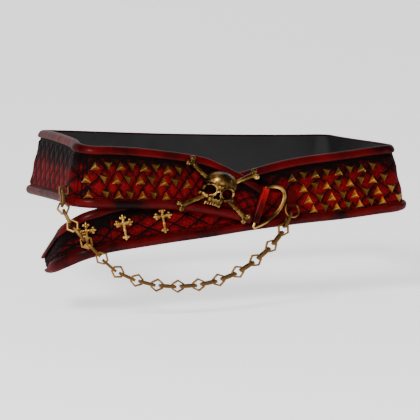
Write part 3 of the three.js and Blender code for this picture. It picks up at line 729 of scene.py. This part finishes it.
@dataclass
class QuiltedPanel(Stretch):
    """One leather panel: a tooled diamond lattice between plain borders with double lines.

    Its diamonds are about wide millimetres across, in high rows. Painted shade darkens it above the share
    turn of the strap's width, under the top binding, and it is painted lighter below; dark_start and dark_stop darken
    its ends.
    """

    wide: float
    high: int = 2
    rise: float = 1.35
    line_depth: float = 0.45
    line_pitch: float = 1.7
    border: float = 9.6
    step: float = 1.5
    rows: int = 64
    thickness: float = 2.4
    lit_level: float = 0.86
    shaded_level: float = 0.16
    turn: float = 0.7
    dark_start: float = 0.0
    dark_stop: float = 0.0
    side_lines: tuple[float, ...] = ()
    inner_line: float = 2.5
    groove_width: float = 0.85

    def lattice(self, q: Array, up: Array, width: Array) -> tuple[Array, Array, Array]:
        """Works out the quilting.

        Args:
            q: Stations.
            up: Distances from the bottom edge.
            width: Widths of the strap.

        Returns:
            Pillow height, groove depth and painted shade on each diamond's upper-left side, each from 0 to 1.
        """
        count = round((self.stop - self.start) / self.wide)
        across = (q - self.start) / (self.stop - self.start) * count
        quilted = width - 2 * self.border
        tall = (up - self.border) / quilted * self.high
        steepness = np.hypot(count / (self.stop - self.start), self.high / quilted)
        away = np.minimum(*(
            np.arcsin(np.abs(np.sin(np.pi * (across + slope * tall)))) / np.pi / steepness for slope in (-1, 1)
        ))
        inside = np.clip(np.minimum(up - self.border, width - self.border - up) / 0.8, 0, 1)
        facet = np.clip(away * steepness / 0.5, 0, 1) ** 0.7
        inner = np.exp(-(((away - self.inner_line) / 0.32) ** 2))
        groove = np.exp(-((away / self.groove_width) ** 2))
        # Painted shade, darkest along each diamond's upper-left side
        shade = np.exp(-np.mod(across - tall, 1) / 0.2)
        return (facet - 0.18 * inner) * inside, np.clip(groove + 0.55 * inner, 0, 1) * inside, shade * inside

    def border_lines(self, q: Array, up: Array, width: Array) -> Array:
        """Depth, from 0 to 1, of the double lines tooled along both edges and at the start."""
        wobble = 0.22 * np.sin(q / 3.1) + 0.16 * np.sin(q / 1.37 + 1.0)
        depth = np.zeros_like(up)
        for edge in (up, width - up):
            for line in (self.border - self.line_pitch, self.border):
                depth = np.maximum(depth, np.exp(-(((edge - line - wobble) / 0.42) ** 2)))
        for line in self.side_lines:
            depth = np.maximum(depth, np.exp(-(((q - self.start - line) / 0.5) ** 2)))
        return depth

    def build(self) -> Piece:
        """Builds the panel as a thin shell with its tooling attribute, which also carries its painted shade and
        light.
        """
        q = self.stations(self.step)
        piece, column, row = self.grid(q, self.rows)
        station = q[column]
        share = row / self.rows
        width = STRAP.widths(station)
        height, groove, shade = self.lattice(station, share * width, width)
        lines = self.border_lines(station, share * width, width)
        ends = np.clip(np.minimum(station - q[0], q[-1] - station) / 1.2, 0, 1)
        lift = self.rise * height * ends - self.line_depth * lines
        set_points(piece, STRAP.points(station, share, lift))
        # Painted shade and light: darker above the share turn, under the top binding, and lighter below
        low = np.clip((self.turn + 0.2 - share) / 0.4, 0, 1)
        glow = self.shaded_level + (self.lit_level - self.shaded_level) * low * low * (3 - 2 * low)
        along = (station - self.start) / (self.stop - self.start)
        glow = glow - self.dark_start * (1 - along) - self.dark_stop * along
        # Painted shade on each diamond's upper-left side; the raised middles a little lighter and the ends at the
        # seams a little darker
        glow = glow - 0.12 * (1 - ends) + 0.1 * height - 0.34 * shade
        # The tooling attribute: red for grooves and lines, green for the painted shade and light, blue for the share
        # of the width
        colours = np.column_stack([np.maximum(groove, lines), glow, share, np.ones_like(glow)])
        paint = piece.data.color_attributes.new("tooling", "FLOAT_COLOR", "POINT")
        paint.data.foreach_set("color", colours.astype(np.float32).ravel())
        self.thicken(piece, self.thickness)
        return piece


@dataclass
class Lining(Stretch):
    """Black leather behind the panels, with shallow puckers where it was glued."""

    step: float = 3.0
    rows: int = 24
    thickness: float = 0.9
    clearance: float = 0.12

    def build(self) -> Piece:
        """Builds the lining as a thin shell."""
        q = self.stations(self.step)
        piece, column, row = self.grid(q, self.rows)
        station, share = q[column], row / self.rows
        pucker = 0.09 * np.sin(station / 11.0) * np.sin(np.pi * share) + 0.06 * np.sin(station / 4.3 + 5 * share)
        set_points(piece, STRAP.points(station, share, pucker - WALL - SEAM_GAP - self.clearance))
        self.thicken(piece, self.thickness)
        return piece


@dataclass
class Binding(Stretch):
    """Rolled leather along one edge, turned over the panel and the lining."""

    edge: Edge
    step: float = 2.6

    # Columns: distance out from the panel's face, and distance into the strap from its edge
    section = (
        (0.5, 6.9), (2.5, 6.4), (3.35, 4.2), (3.1, 1.9), (1.7, -0.6), (-0.9, -1.6),
        (-3.3, -1.5), (-4.45, -0.5), (-0.6, -0.5), (0.5, -0.5), (0.5, 0.6),
    )
    # Where the roll's closed ends come together, in its thick corner
    cap_centre = (0.9, -0.75)

    def outline(self) -> Array:
        """The section with its corners cut twice."""
        loop = np.array(self.section)
        for _ in range(2):
            ahead = np.roll(loop, -1, axis=0)
            loop = np.stack([0.75 * loop + 0.25 * ahead, 0.25 * loop + 0.75 * ahead], 1).reshape(-1, 2)
        return loop

    def build(self) -> Piece:
        """Builds the binding as a closed roll with small creases."""
        outline = self.outline()
        q = self.stations(self.step)
        q = np.concatenate([q[:1], q, q[-1:]])
        piece, column, row = self.grid(q, len(outline))
        station = q[column]
        lift, depth = outline[row % len(outline)].T
        closed = (column == 0) | (column == len(q) - 1)
        lift, depth = (np.where(closed, *pair) for pair in zip(self.cap_centre, (lift, depth)))
        crease = 0.1 * np.sin(station / 2.9) * np.sin(station / 13.0) + 0.07 * np.sin(station / 5.1 + 2.0)
        lift = lift + np.where(lift > 1.5, crease, 0)
        width = STRAP.widths(station)
        share = 1 - depth / width if self.edge is Edge.TOP else (depth + WAIST.flare * lift) / width
        set_points(piece, STRAP.points(station, share, lift))
        tidy_surface(piece)
        return piece


class Leather(Assembly):
    """The strap's panels, linings and bindings."""

    panels = (
        QuiltedPanel(
            "tail_tip", TAIL_END, TAIL_TURN, 15.0, step=0.55, rows=72, turn=0.62, dark_start=0.42, dark_stop=0.16
        ),
        QuiltedPanel("tail", TAIL_TURN, CROSSING, 27.0, step=0.75, rows=80, turn=0.66, dark_start=0.12),
        QuiltedPanel("right_front", CROSSING, RIGHT_SEAM, 27.0, step=0.75, rows=88, turn=0.72),
        QuiltedPanel("right_side", RIGHT_SEAM, BACK_RIGHT, 27.0, step=1.2),
        QuiltedPanel("back", BACK_RIGHT, BACK_LEFT, 27.0, rows=56),
        QuiltedPanel("left_side", BACK_LEFT, LEFT_CORNER, 20.5, step=0.9, rows=72, turn=0.58, inner_line=2.0),
        QuiltedPanel(
            "left_front", LEFT_CORNER, RING_END, 12.4, step=0.7, rows=84, turn=0.72, side_lines=(3.0, 5.4),
            inner_line=1.75, groove_width=0.6,
        ),
    )
    linings = (
        Lining("tail_lining", TAIL_END, TAIL_TURN, step=1.6),
        Lining("right_lining", TAIL_TURN, RIGHT_SEAM),
        Lining("loop_lining", RIGHT_SEAM, LEFT_CORNER, step=2.2),
        Lining("left_lining", LEFT_CORNER, RING_END),
    )
    stretches = (("right", TAIL_END, RIGHT_SEAM), ("loop", RIGHT_SEAM, LEFT_CORNER), ("left", LEFT_CORNER, RING_END))

    def build(self) -> None:
        """Builds the panels, then the linings, then the bindings."""
        self.build_sheets("_panel", self.panels, self.palette.tooled, Finish.QUILTED, "_sheet", self.linings)
        self.build_sheets("_sheet", self.linings, self.palette.lining, Finish.LINING, "_panel", self.panels)
        self.build_bindings()

    def build_sheets(
        self, ending: str, sheets: tuple[Stretch, ...], material: Material, finish: Finish,
        other_ending: str, others: tuple[Stretch, ...],
    ) -> None:
        """Builds one layer of leather and measures the size that each piece was cut to.

        Args:
            ending: Ending of the pieces' names.
            sheets: The stretches of this layer.
            material: Their material.
            finish: Their finish; not used.
            other_ending: Ending of the other layer's names; not used.
            others: The stretches of the layer that they lie on; not used.
        """
        for sheet in sheets:
            piece = sheet.build()
            piece.name = sheet.name + ending
            dress(piece, material, "belt", 60.0)
            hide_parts(sheet.name)
            length, area = STRAP.cut(sheet.start, sheet.stop)

    def build_bindings(self) -> None:
        """Builds the six bindings."""
        for stretch, start, stop in self.stretches:
            for edge in Edge:
                node = f"{stretch}_{edge.value}_binding"
                piece = Binding(f"{node}_roll", start, stop, edge).build()
                dress(piece, self.palette.glazed, "belt", 60.0)
                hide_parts(node)


@dataclass(frozen=True)
class StudRow:
    """One row of studs: first station, spacing, count and share of the strap's width."""

    name: str
    first: float
    pitch: float
    count: int
    share: float


@dataclass
class Studs(Assembly):
    """Three-sided pyramids set in rows, turned point up and point down in turn, the point-down ones in a
    painted-shade copy of the brass.
    """

    radius: float = 5.7
    height: float = 6.6
    sunk: float = 0.9
    flange: float = 1.15
    edge: float = 0.22
    rows: tuple[StudRow, ...] = (
        StudRow("left_studs_top", GIRTH - 158.4, 12.37, 8, 0.695),
        StudRow("left_studs_middle", GIRTH - 163.6, 12.37, 9, 0.465),
        StudRow("left_studs_bottom", GIRTH - 162.2, 12.37, 7, 0.205),
        StudRow("right_studs_top", 52.6, 13.15, 8, 0.725),
        StudRow("right_studs_upper", 64.4, 13.15, 8, 0.53),
        StudRow("right_studs_lower", 69.1, 13.15, 8, 0.345),
        StudRow("right_studs_bottom", 73.9, 13.15, 8, 0.18),
    )

    def pattern(self) -> Piece:
        """Models one stud at the origin, its base below z = 0 and its tip along +Z."""
        deselect_all()
        base = rod((0, 0, -self.sunk), (0, 0, self.flange), self.radius, self.radius, 3)
        tip = rod((0, 0, self.flange), (0, 0, self.height), self.radius, 0.0, 3)
        stud = join_as("stud", [base, tip])
        tidy_surface(stud, merge=1e-7)
        apply_modifier(
            stud, "BEVEL", width=self.edge * MM, segments=2, limit_method="ANGLE", angle_limit=math.radians(20)
        )
        return stud

    def build(self) -> None:
        """Copies the stud along every row."""
        stud = self.pattern()
        foot = min(v.co.y for v in stud.data.vertices if v.co.z < 0)
        points_along_y = abs(foot) < self.radius * MM * 0.75
        for row in self.rows:
            parts = []
            for i in range(row.count):
                copy = copy_of(stud, f"stud_{i}")
                points_up = i % 2 == 0
                turn = turned(0.0 if points_up == points_along_y else 180.0)
                nudge = Matrix.Translation((0, (-self.radius if points_up else self.radius) / 4 * MM, 0))
                copy.data.transform(STRAP.frame(row.first + i * row.pitch, row.share) @ nudge @ turn)
                parts.append(copy)
            faces = len(stud.data.polygons)
            piece = join_as(row.name, parts)
            dress(piece, self.palette.brass["studs"], "belt", 20.0)
            # The point-down studs take the painted-shade brass, as shaded copies of the bright ones
            piece.data.materials.append(self.palette.brass["dark_studs"])
            darker = [i // faces % 2 for i in range(faces * row.count)]
            piece.data.polygons.foreach_set("material_index", darker)
        bpy.data.objects.remove(stud)


def ball(place: Place, size: Place, turn: float = 0.0) -> Piece:
    """Adds a ball stretched to three radii, in millimetres, turned in the face's plane by degrees."""
    bpy.ops.mesh.primitive_uv_sphere_add(
        segments=32, ring_count=20, radius=1.0, location=[v * MM for v in place],
        rotation=(0, 0, math.radians(turn)), scale=[v * MM for v in size],
    )
    return bpy.context.object


def rod(start: Place, stop: Place, first: float, last: float, sides: int = 24) -> Piece:
    """Adds a rod between two points, with its first and last radius, in millimetres."""
    a, b = Vector(start) * MM, Vector(stop) * MM
    turn = (b - a).to_track_quat("Z", "Y").to_euler()
    bpy.ops.mesh.primitive_cone_add(
        vertices=sides, radius1=first * MM, radius2=last * MM, depth=(b - a).length, location=(a + b) / 2,
        rotation=turn,
    )
    return bpy.context.object


def cast(piece: Piece, voxel: float, smooth: int) -> Piece:
    """Fuses a piece of overlapping closed parts into one casting with softened joints.

    Args:
        piece: The joined parts.
        voxel: Grain of the fusing, in millimetres.
        smooth: Passes of smoothing.

    Returns:
        The same piece.
    """
    apply_modifier(piece, "REMESH", mode="VOXEL", voxel_size=voxel * MM, adaptivity=0.0)
    apply_modifier(piece, "SMOOTH", factor=0.5, iterations=smooth)
    return piece


def cut_away(piece: Piece, cutters: list[Piece]) -> None:
    """Cuts closed shapes out of a piece and removes them."""
    for cutter in cutters:
        apply_modifier(piece, "BOOLEAN", operation="DIFFERENCE", solver="EXACT", object=cutter)
        bpy.data.objects.remove(cutter)


def flat_back(piece: Piece) -> None:
    """Cuts a piece flat at z = 0, keeping what stands in front of it."""
    with editing(piece):
        bpy.ops.mesh.bisect(plane_co=(0, 0, 0.01 * MM), plane_no=(0, 0, 1), use_fill=True, clear_inner=True)


@dataclass
class SkullAndBones(Assembly):
    """Cast skull without a lower jaw, over the ends of two crossed bones."""

    s: float = -33.5
    z: float = -41.3
    lift: float = OVERLAP + BEAD_PROUD + SEAM_GAP
    turn: float = -17.0
    tuck: float = 6.0
    lean: float = 0.16
    bone_axis: float = 1.5
    # Columns: name, direction in degrees, and where it starts and stops
    bones: tuple[tuple[str, float, float, float], ...] = (
        ("bone_upper_left", 131.5, 21.6, 40.5),
        ("bone_upper_right", 19.6, 21.7, 43.5),
        ("bone_lower_left", 199.6, 22.6, 43.5),
        ("bone_lower_right", -48.5, 23.0, 40.5),
    )

    # Columns: place, radii and turn. Those of each side are given for the right one and mirrored
    middle = {
        "cranium": ((0, 5.6, 0), (18.6, 14.6, 12.2)),
        "forehead": ((0, 8.5, 3.0), (13.5, 10.0, 10.2)),
        "brow middle": ((0, 1.4, 8.4), (4.4, 3.2, 4.2)),
        "face": ((0, -4.4, 1.0), (14.2, 8.6, 9.6)),
        "upper jaw": ((0, -11.2, 1.0), (8.9, 6.4, 8.6)),
        "nose bridge": ((0, -5.0, 8.6), (2.3, 4.2, 3.1)),
    }
    sides = {
        "brow": ((8.6, 2.6, 7.9), (7.2, 2.1, 3.2), -12),
        "temple": ((15.6, -0.6, 3.2), (2.4, 4.6, 4.4), 14),
        "cheekbone": ((12.2, -9.2, 5.2), (5.2, 2.3, 3.6), 24),
        "cheek arch": ((17.0, -7.0, 2.0), (2.4, 3.0, 3.4), 30),
        "jaw root": ((5.6, -11.6, 6.2), (2.6, 3.6, 2.6), 12),
    }
    eye_cut = ((9.1, -3.3, 4.0), (5.9, 4.9, 40.0), 10)
    temple_cut = ((20.5, 6.5, 9.5), (6.4, 5.2, 4.6), 20)
    nose_cut = ((0, -7.15, 4), (2.05, 3.4, 40.0))
    nostril_cut = ((1.75, -9.9, 5), (1.85, 2.2, 38.0), 0)
    teeth: int = 8
    tooth_pitch: float = 2.25

    def face_frame(self) -> Matrix:
        """Frame of the ornament's back on the strap."""
        return WAIST.frame(self.s, self.z, self.lift)

    @staticmethod
    def sided(side: int, place: Place, size: Place, turn: float) -> Piece:
        """Adds a ball on one side, -1 for the left and 1 for the right."""
        return ball((side * place[0], *place[1:]), size, side * turn)

    def tooth(self, i: int) -> Piece:
        """Adds one upper tooth, which follows the jaw's curve."""
        x = (i - (self.teeth - 1) / 2) * self.tooth_pitch
        depth = 7.4 - 0.11 * x * x
        return rod((x, -13.4, depth), (x * 0.98, -18.2 + 0.05 * abs(x), depth - 0.6), 1.15, 0.85)

    def skull(self) -> Piece:
        """Models the skull face on, its back at z = 0."""
        deselect_all()
        parts = [ball(*lump) for lump in self.middle.values()]
        parts += [self.sided(side, *lump) for side in (-1, 1) for lump in self.sides.values()]
        parts += [self.tooth(i) for i in range(self.teeth)]
        head = cast(join_as("skull_casting", parts), 0.42, 3)
        cutters = [self.sided(side, *cut) for side in (-1, 1) for cut in (self.eye_cut, self.temple_cut)]
        cutters.append(ball(*self.nose_cut))
        cutters += [self.sided(side, *self.nostril_cut) for side in (-1, 1)]
        cut_away(head, cutters)
        cast(head, 0.38, 2)
        flat_back(head)
        return head

    def bone(self, start: float, stop: float) -> Piece:
        """Models half a bone along +X, its back at z = 0."""
        deselect_all()
        z = self.bone_axis
        parts = [
            rod((start, 0, z), (start + 13, 0, z), 2.5, 2.25),
            rod((start + 12.5, 0, z), (stop + 0.5, 0, z), 2.25, 3.0),
        ]
        for side in (-1, 1):
            parts.append(ball((stop + 0.6, side * 3.3, z), (3.3, 3.1, 3.2)))
            parts.append(ball((stop - 1.6, side * 2.0, z), (2.6, 2.0, 2.5), side * 25))
        piece = cast(join_as("bone_casting", parts), 0.3, 4)
        flat_back(piece)
        return piece

    def build(self) -> None:
        """Builds and places the castings."""
        head = self.skull()
        slant = Matrix.Identity(4)
        slant[0][1] = self.lean
        head.data.transform(self.face_frame() @ turned(self.turn) @ slant)
        tidy_surface(head)
        dress(head, self.palette.brass["aged"], "belt", 50.0)
        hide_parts("skull")
        for name, angle, start, stop in self.bones:
            piece = self.bone(start - self.tuck, stop)
            piece.name = f"{name}_casting"
            piece.data.transform(self.face_frame() @ turned(angle))
            tidy_surface(piece)
            dress(piece, self.palette.brass["aged"], "belt", 50.0)
            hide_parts(name)


@dataclass
class Crosses(Assembly):
    """Cast crosses with trefoil ends and a longer foot, on the tail."""

    top: float = 8.2
    side: float = 9.4
    foot: float = 17.2
    lift: float = 1.2
    # Columns: name, distance round the waist, height and turn in degrees
    rows: tuple[tuple[str, float, float, float], ...] = (
        ("cross_1", -163.2, -78.6, 7.0),
        ("cross_2", -132.8, -72.0, 7.0),
        ("cross_3", -91.0, -66.4, 6.0),
    )

    def arm(self, reach: float, degrees: float) -> list[Piece]:
        """Models one arm: a ridged neck, a collar and three buds."""
        turn = Matrix.Rotation(math.radians(degrees), 3, "Z")

        def at(x: float, y: float, z: float) -> Place:
            """Turns a point of the arm into place."""
            return tuple(turn @ Vector((x, y, z)))

        # Neck, bead on it, collar, side buds, end bud and the middle between them
        return [
            rod(at(0, 0, 1.1), at(reach - 3.2, 0, 1.1), 1.5, 1.25),
            ball(at(reach * 0.45, 0, 1.2), (1.75, 1.75, 1.5)),
            rod(at(reach - 4.4, 0, 1.2), at(reach - 3.6, 0, 1.2), 2.1, 2.1),
            ball(at(reach - 2.6, -2.3, 1.0), (1.6, 1.6, 1.3)),
            ball(at(reach - 2.6, 2.3, 1.0), (1.6, 1.6, 1.3)),
            ball(at(reach - 0.9, 0, 1.0), (1.75, 1.45, 1.3), degrees),
            ball(at(reach - 2.4, 0, 1.5), (1.5, 1.5, 1.4)),
        ]

    def pattern(self) -> Piece:
        """Models one cross, its back at z = 0."""
        deselect_all()
        parts = [ball((0, 0, 1.2), (2.5, 2.5, 1.6))]
        for reach, degrees in ((self.side, 0.0), (self.top, 90.0), (self.side, 180.0), (self.foot, 270.0)):
            parts += self.arm(reach, degrees)
        piece = cast(join_as("cross_casting", parts), 0.26, 1)
        flat_back(piece)
        return piece

    def build(self) -> None:
        """Copies the cross to its three places."""
        pattern = self.pattern()
        for name, s, z, degrees in self.rows:
            piece = copy_of(pattern, f"{name}_casting")
            out = float(STRAP.read(np.array([s]))[0, 4]) + self.lift + SEAM_GAP
            piece.data.transform(WAIST.frame(s, z, out) @ turned(degrees))
            tidy_surface(piece)
            dress(piece, self.palette.brass["crosses"], "belt", 50.0)
            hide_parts(name)
        bpy.data.objects.remove(pattern)


@dataclass
class Fittings(Assembly):
    """Rings, chain, leather loop and tab, taken from the frame's own shapes and rounded."""

    links: int = 29
    link_rounding: float = 0.34
    bar_swell: float = 0.07

    @staticmethod
    def soften(node: str, rounding: float, swell: float) -> Piece:
        """Copies a frame node with rounded edges.

        Args:
            node: The frame node.
            rounding: Width of the rounding, in millimetres.
            swell: How far its surface moves out, in millimetres.

        Returns:
            The rounded copy.
        """
        piece = copy_of(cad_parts[node], f"{node}_finished")
        piece.parent = None
        piece.matrix_world = Matrix.Identity(4)
        for key in list(piece.keys()):
            del piece[key]
        tidy_surface(piece, merge=1e-5)
        with editing(piece):
            bpy.ops.mesh.tris_convert_to_quads(face_threshold=math.radians(8), shape_threshold=math.radians(60))
        apply_modifier(
            piece, "BEVEL", width=rounding * MM, segments=2, limit_method="ANGLE", angle_limit=math.radians(25)
        )
        if swell:
            apply_modifier(piece, "DISPLACE", strength=swell * MM, mid_level=0.0)
        return piece

    def build(self) -> None:
        """Builds the loop, the tab, both rings, the staple and every link."""
        brass = self.palette.brass
        # Columns: node, rounding, swell, material, finish and body
        plan = [
            ("ring_strap", 0.7, 0.0, self.palette.scarlet, Finish.BINDING, "belt"),
            ("ring_tab", 0.5, 0.0, self.palette.glazed, Finish.BINDING, "belt"),
            ("big_ring", 0.7, 0.0, brass["aged"], Finish.AGED, "belt"),
            ("chain_staple", 0.35, 0.0, brass["chain"], Finish.AGED, "belt"),
            ("small_ring", 0.45, 0.0, brass["chain"], Finish.AGED, "chain"),
        ]
        for i in range(1, self.links + 1):
            edge_on = i % 2 == 1
            swell = self.bar_swell if edge_on and 1 < i < self.links else 0.0
            metal = brass["bars" if edge_on else "chain"]
            plan.append((f"link_{i:02d}", self.link_rounding, swell, metal, Finish.BRIGHT, "chain"))
        for node, rounding, swell, material, finish, body in plan:
            piece = self.soften(node, rounding, swell)
            dress(piece, material, body, 30.0)
            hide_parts(node)


@dataclass
class Studio(Assembly):
    """Pale paper sweep, soft lights and the camera."""

    floor_z: float = -0.17
    target: Place = (-0.003, 0.0, -0.077)
    azimuth: float = math.radians(18.0)
    elevation: float = math.radians(7.0)
    distance: float = 2.0
    lens: float = 156.86
    sensor: float = 36.0
    world_strength: float = 0.22
    # Columns: name, place, size and power
    lights: tuple[tuple[str, Place, float, float], ...] = (
        ("key_light", (-1.35, -1.6, 1.3), 0.6, 62.0),
        ("fill_light", (1.9, -1.6, 0.5), 1.0, 12.0),
        ("rim_light", (0.4, 1.5, 1.8), 1.2, 7.0),
    )
    # The paper's width, where it starts, where it bends up, the bend's radius and its whole length
    paper_width: float = 14.0
    paper_start: float = -5.0
    bend_start: float = 3.0
    bend: float = 1.5
    paper_length: float = 12.0

    def sweep(self) -> None:
        """Builds the floor, which curves up into a backdrop."""
        deselect_all()
        bpy.ops.mesh.primitive_grid_add(x_subdivisions=2, y_subdivisions=40, size=1.0)
        piece = bpy.context.object
        piece.name = "paper_sweep"
        arc = self.bend * math.pi / 2
        for vertex in piece.data.vertices:
            x = vertex.co.x * self.paper_width
            past = (vertex.co.y + 0.5) * self.paper_length + self.paper_start - self.bend_start
            angle = min(max(past, 0.0), arc) / self.bend
            y = self.bend_start + min(past, 0.0) + self.bend * math.sin(angle)
            z = self.floor_z + self.bend * (1 - math.cos(angle)) + max(past - arc, 0.0)
            vertex.co = (x, y, z)
        piece.data.materials.append(self.palette.paper)
        activate(piece)
        bpy.ops.object.shade_smooth()

    def light(self, name: str, place: Place, size: float, power: float) -> None:
        """Adds a soft light that looks at the belt."""
        bpy.ops.object.light_add(type="AREA", location=place)
        lamp = bpy.context.object
        lamp.name = name
        lamp.data.size = size
        lamp.data.energy = power
        lamp.rotation_euler = (Vector(self.target) - Vector(place)).to_track_quat("-Z", "Y").to_euler()

    def build(self) -> None:
        """Builds the sweep, the lights, the world and the camera."""
        self.sweep()
        deselect_all()
        for name, place, size, power in self.lights:
            self.light(name, place, size, power)
        world = bpy.data.worlds.new("studio")
        world.use_nodes = True
        background = world.node_tree.nodes["Background"].inputs
        background["Color"].default_value = (1.0, 1.0, 1.0, 1.0)
        background["Strength"].default_value = self.world_strength
        bpy.context.scene.world = world
        forward = Vector((
            math.sin(self.azimuth) * math.cos(self.elevation),
            math.cos(self.azimuth) * math.cos(self.elevation),
            -math.sin(self.elevation),
        ))
        bpy.ops.object.camera_add(location=Vector(self.target) - forward * self.distance)
        camera = bpy.context.object
        camera.name = "photo_camera"
        camera.rotation_euler = forward.to_track_quat("-Z", "Y").to_euler()
        camera.data.lens = self.lens
        camera.data.sensor_width = self.sensor
        bpy.context.scene.camera = camera


def main() -> None:
    """Builds every part of the belt and its studio in order."""
    logging.basicConfig(level=logging.INFO, format="%(name)s: %(message)s")
    palette = Palette()
    for assembly in (Leather, Studs, SkullAndBones, Crosses, Fittings, Studio):
        assembly(palette).build()


if __name__ == "__main__":
    main()
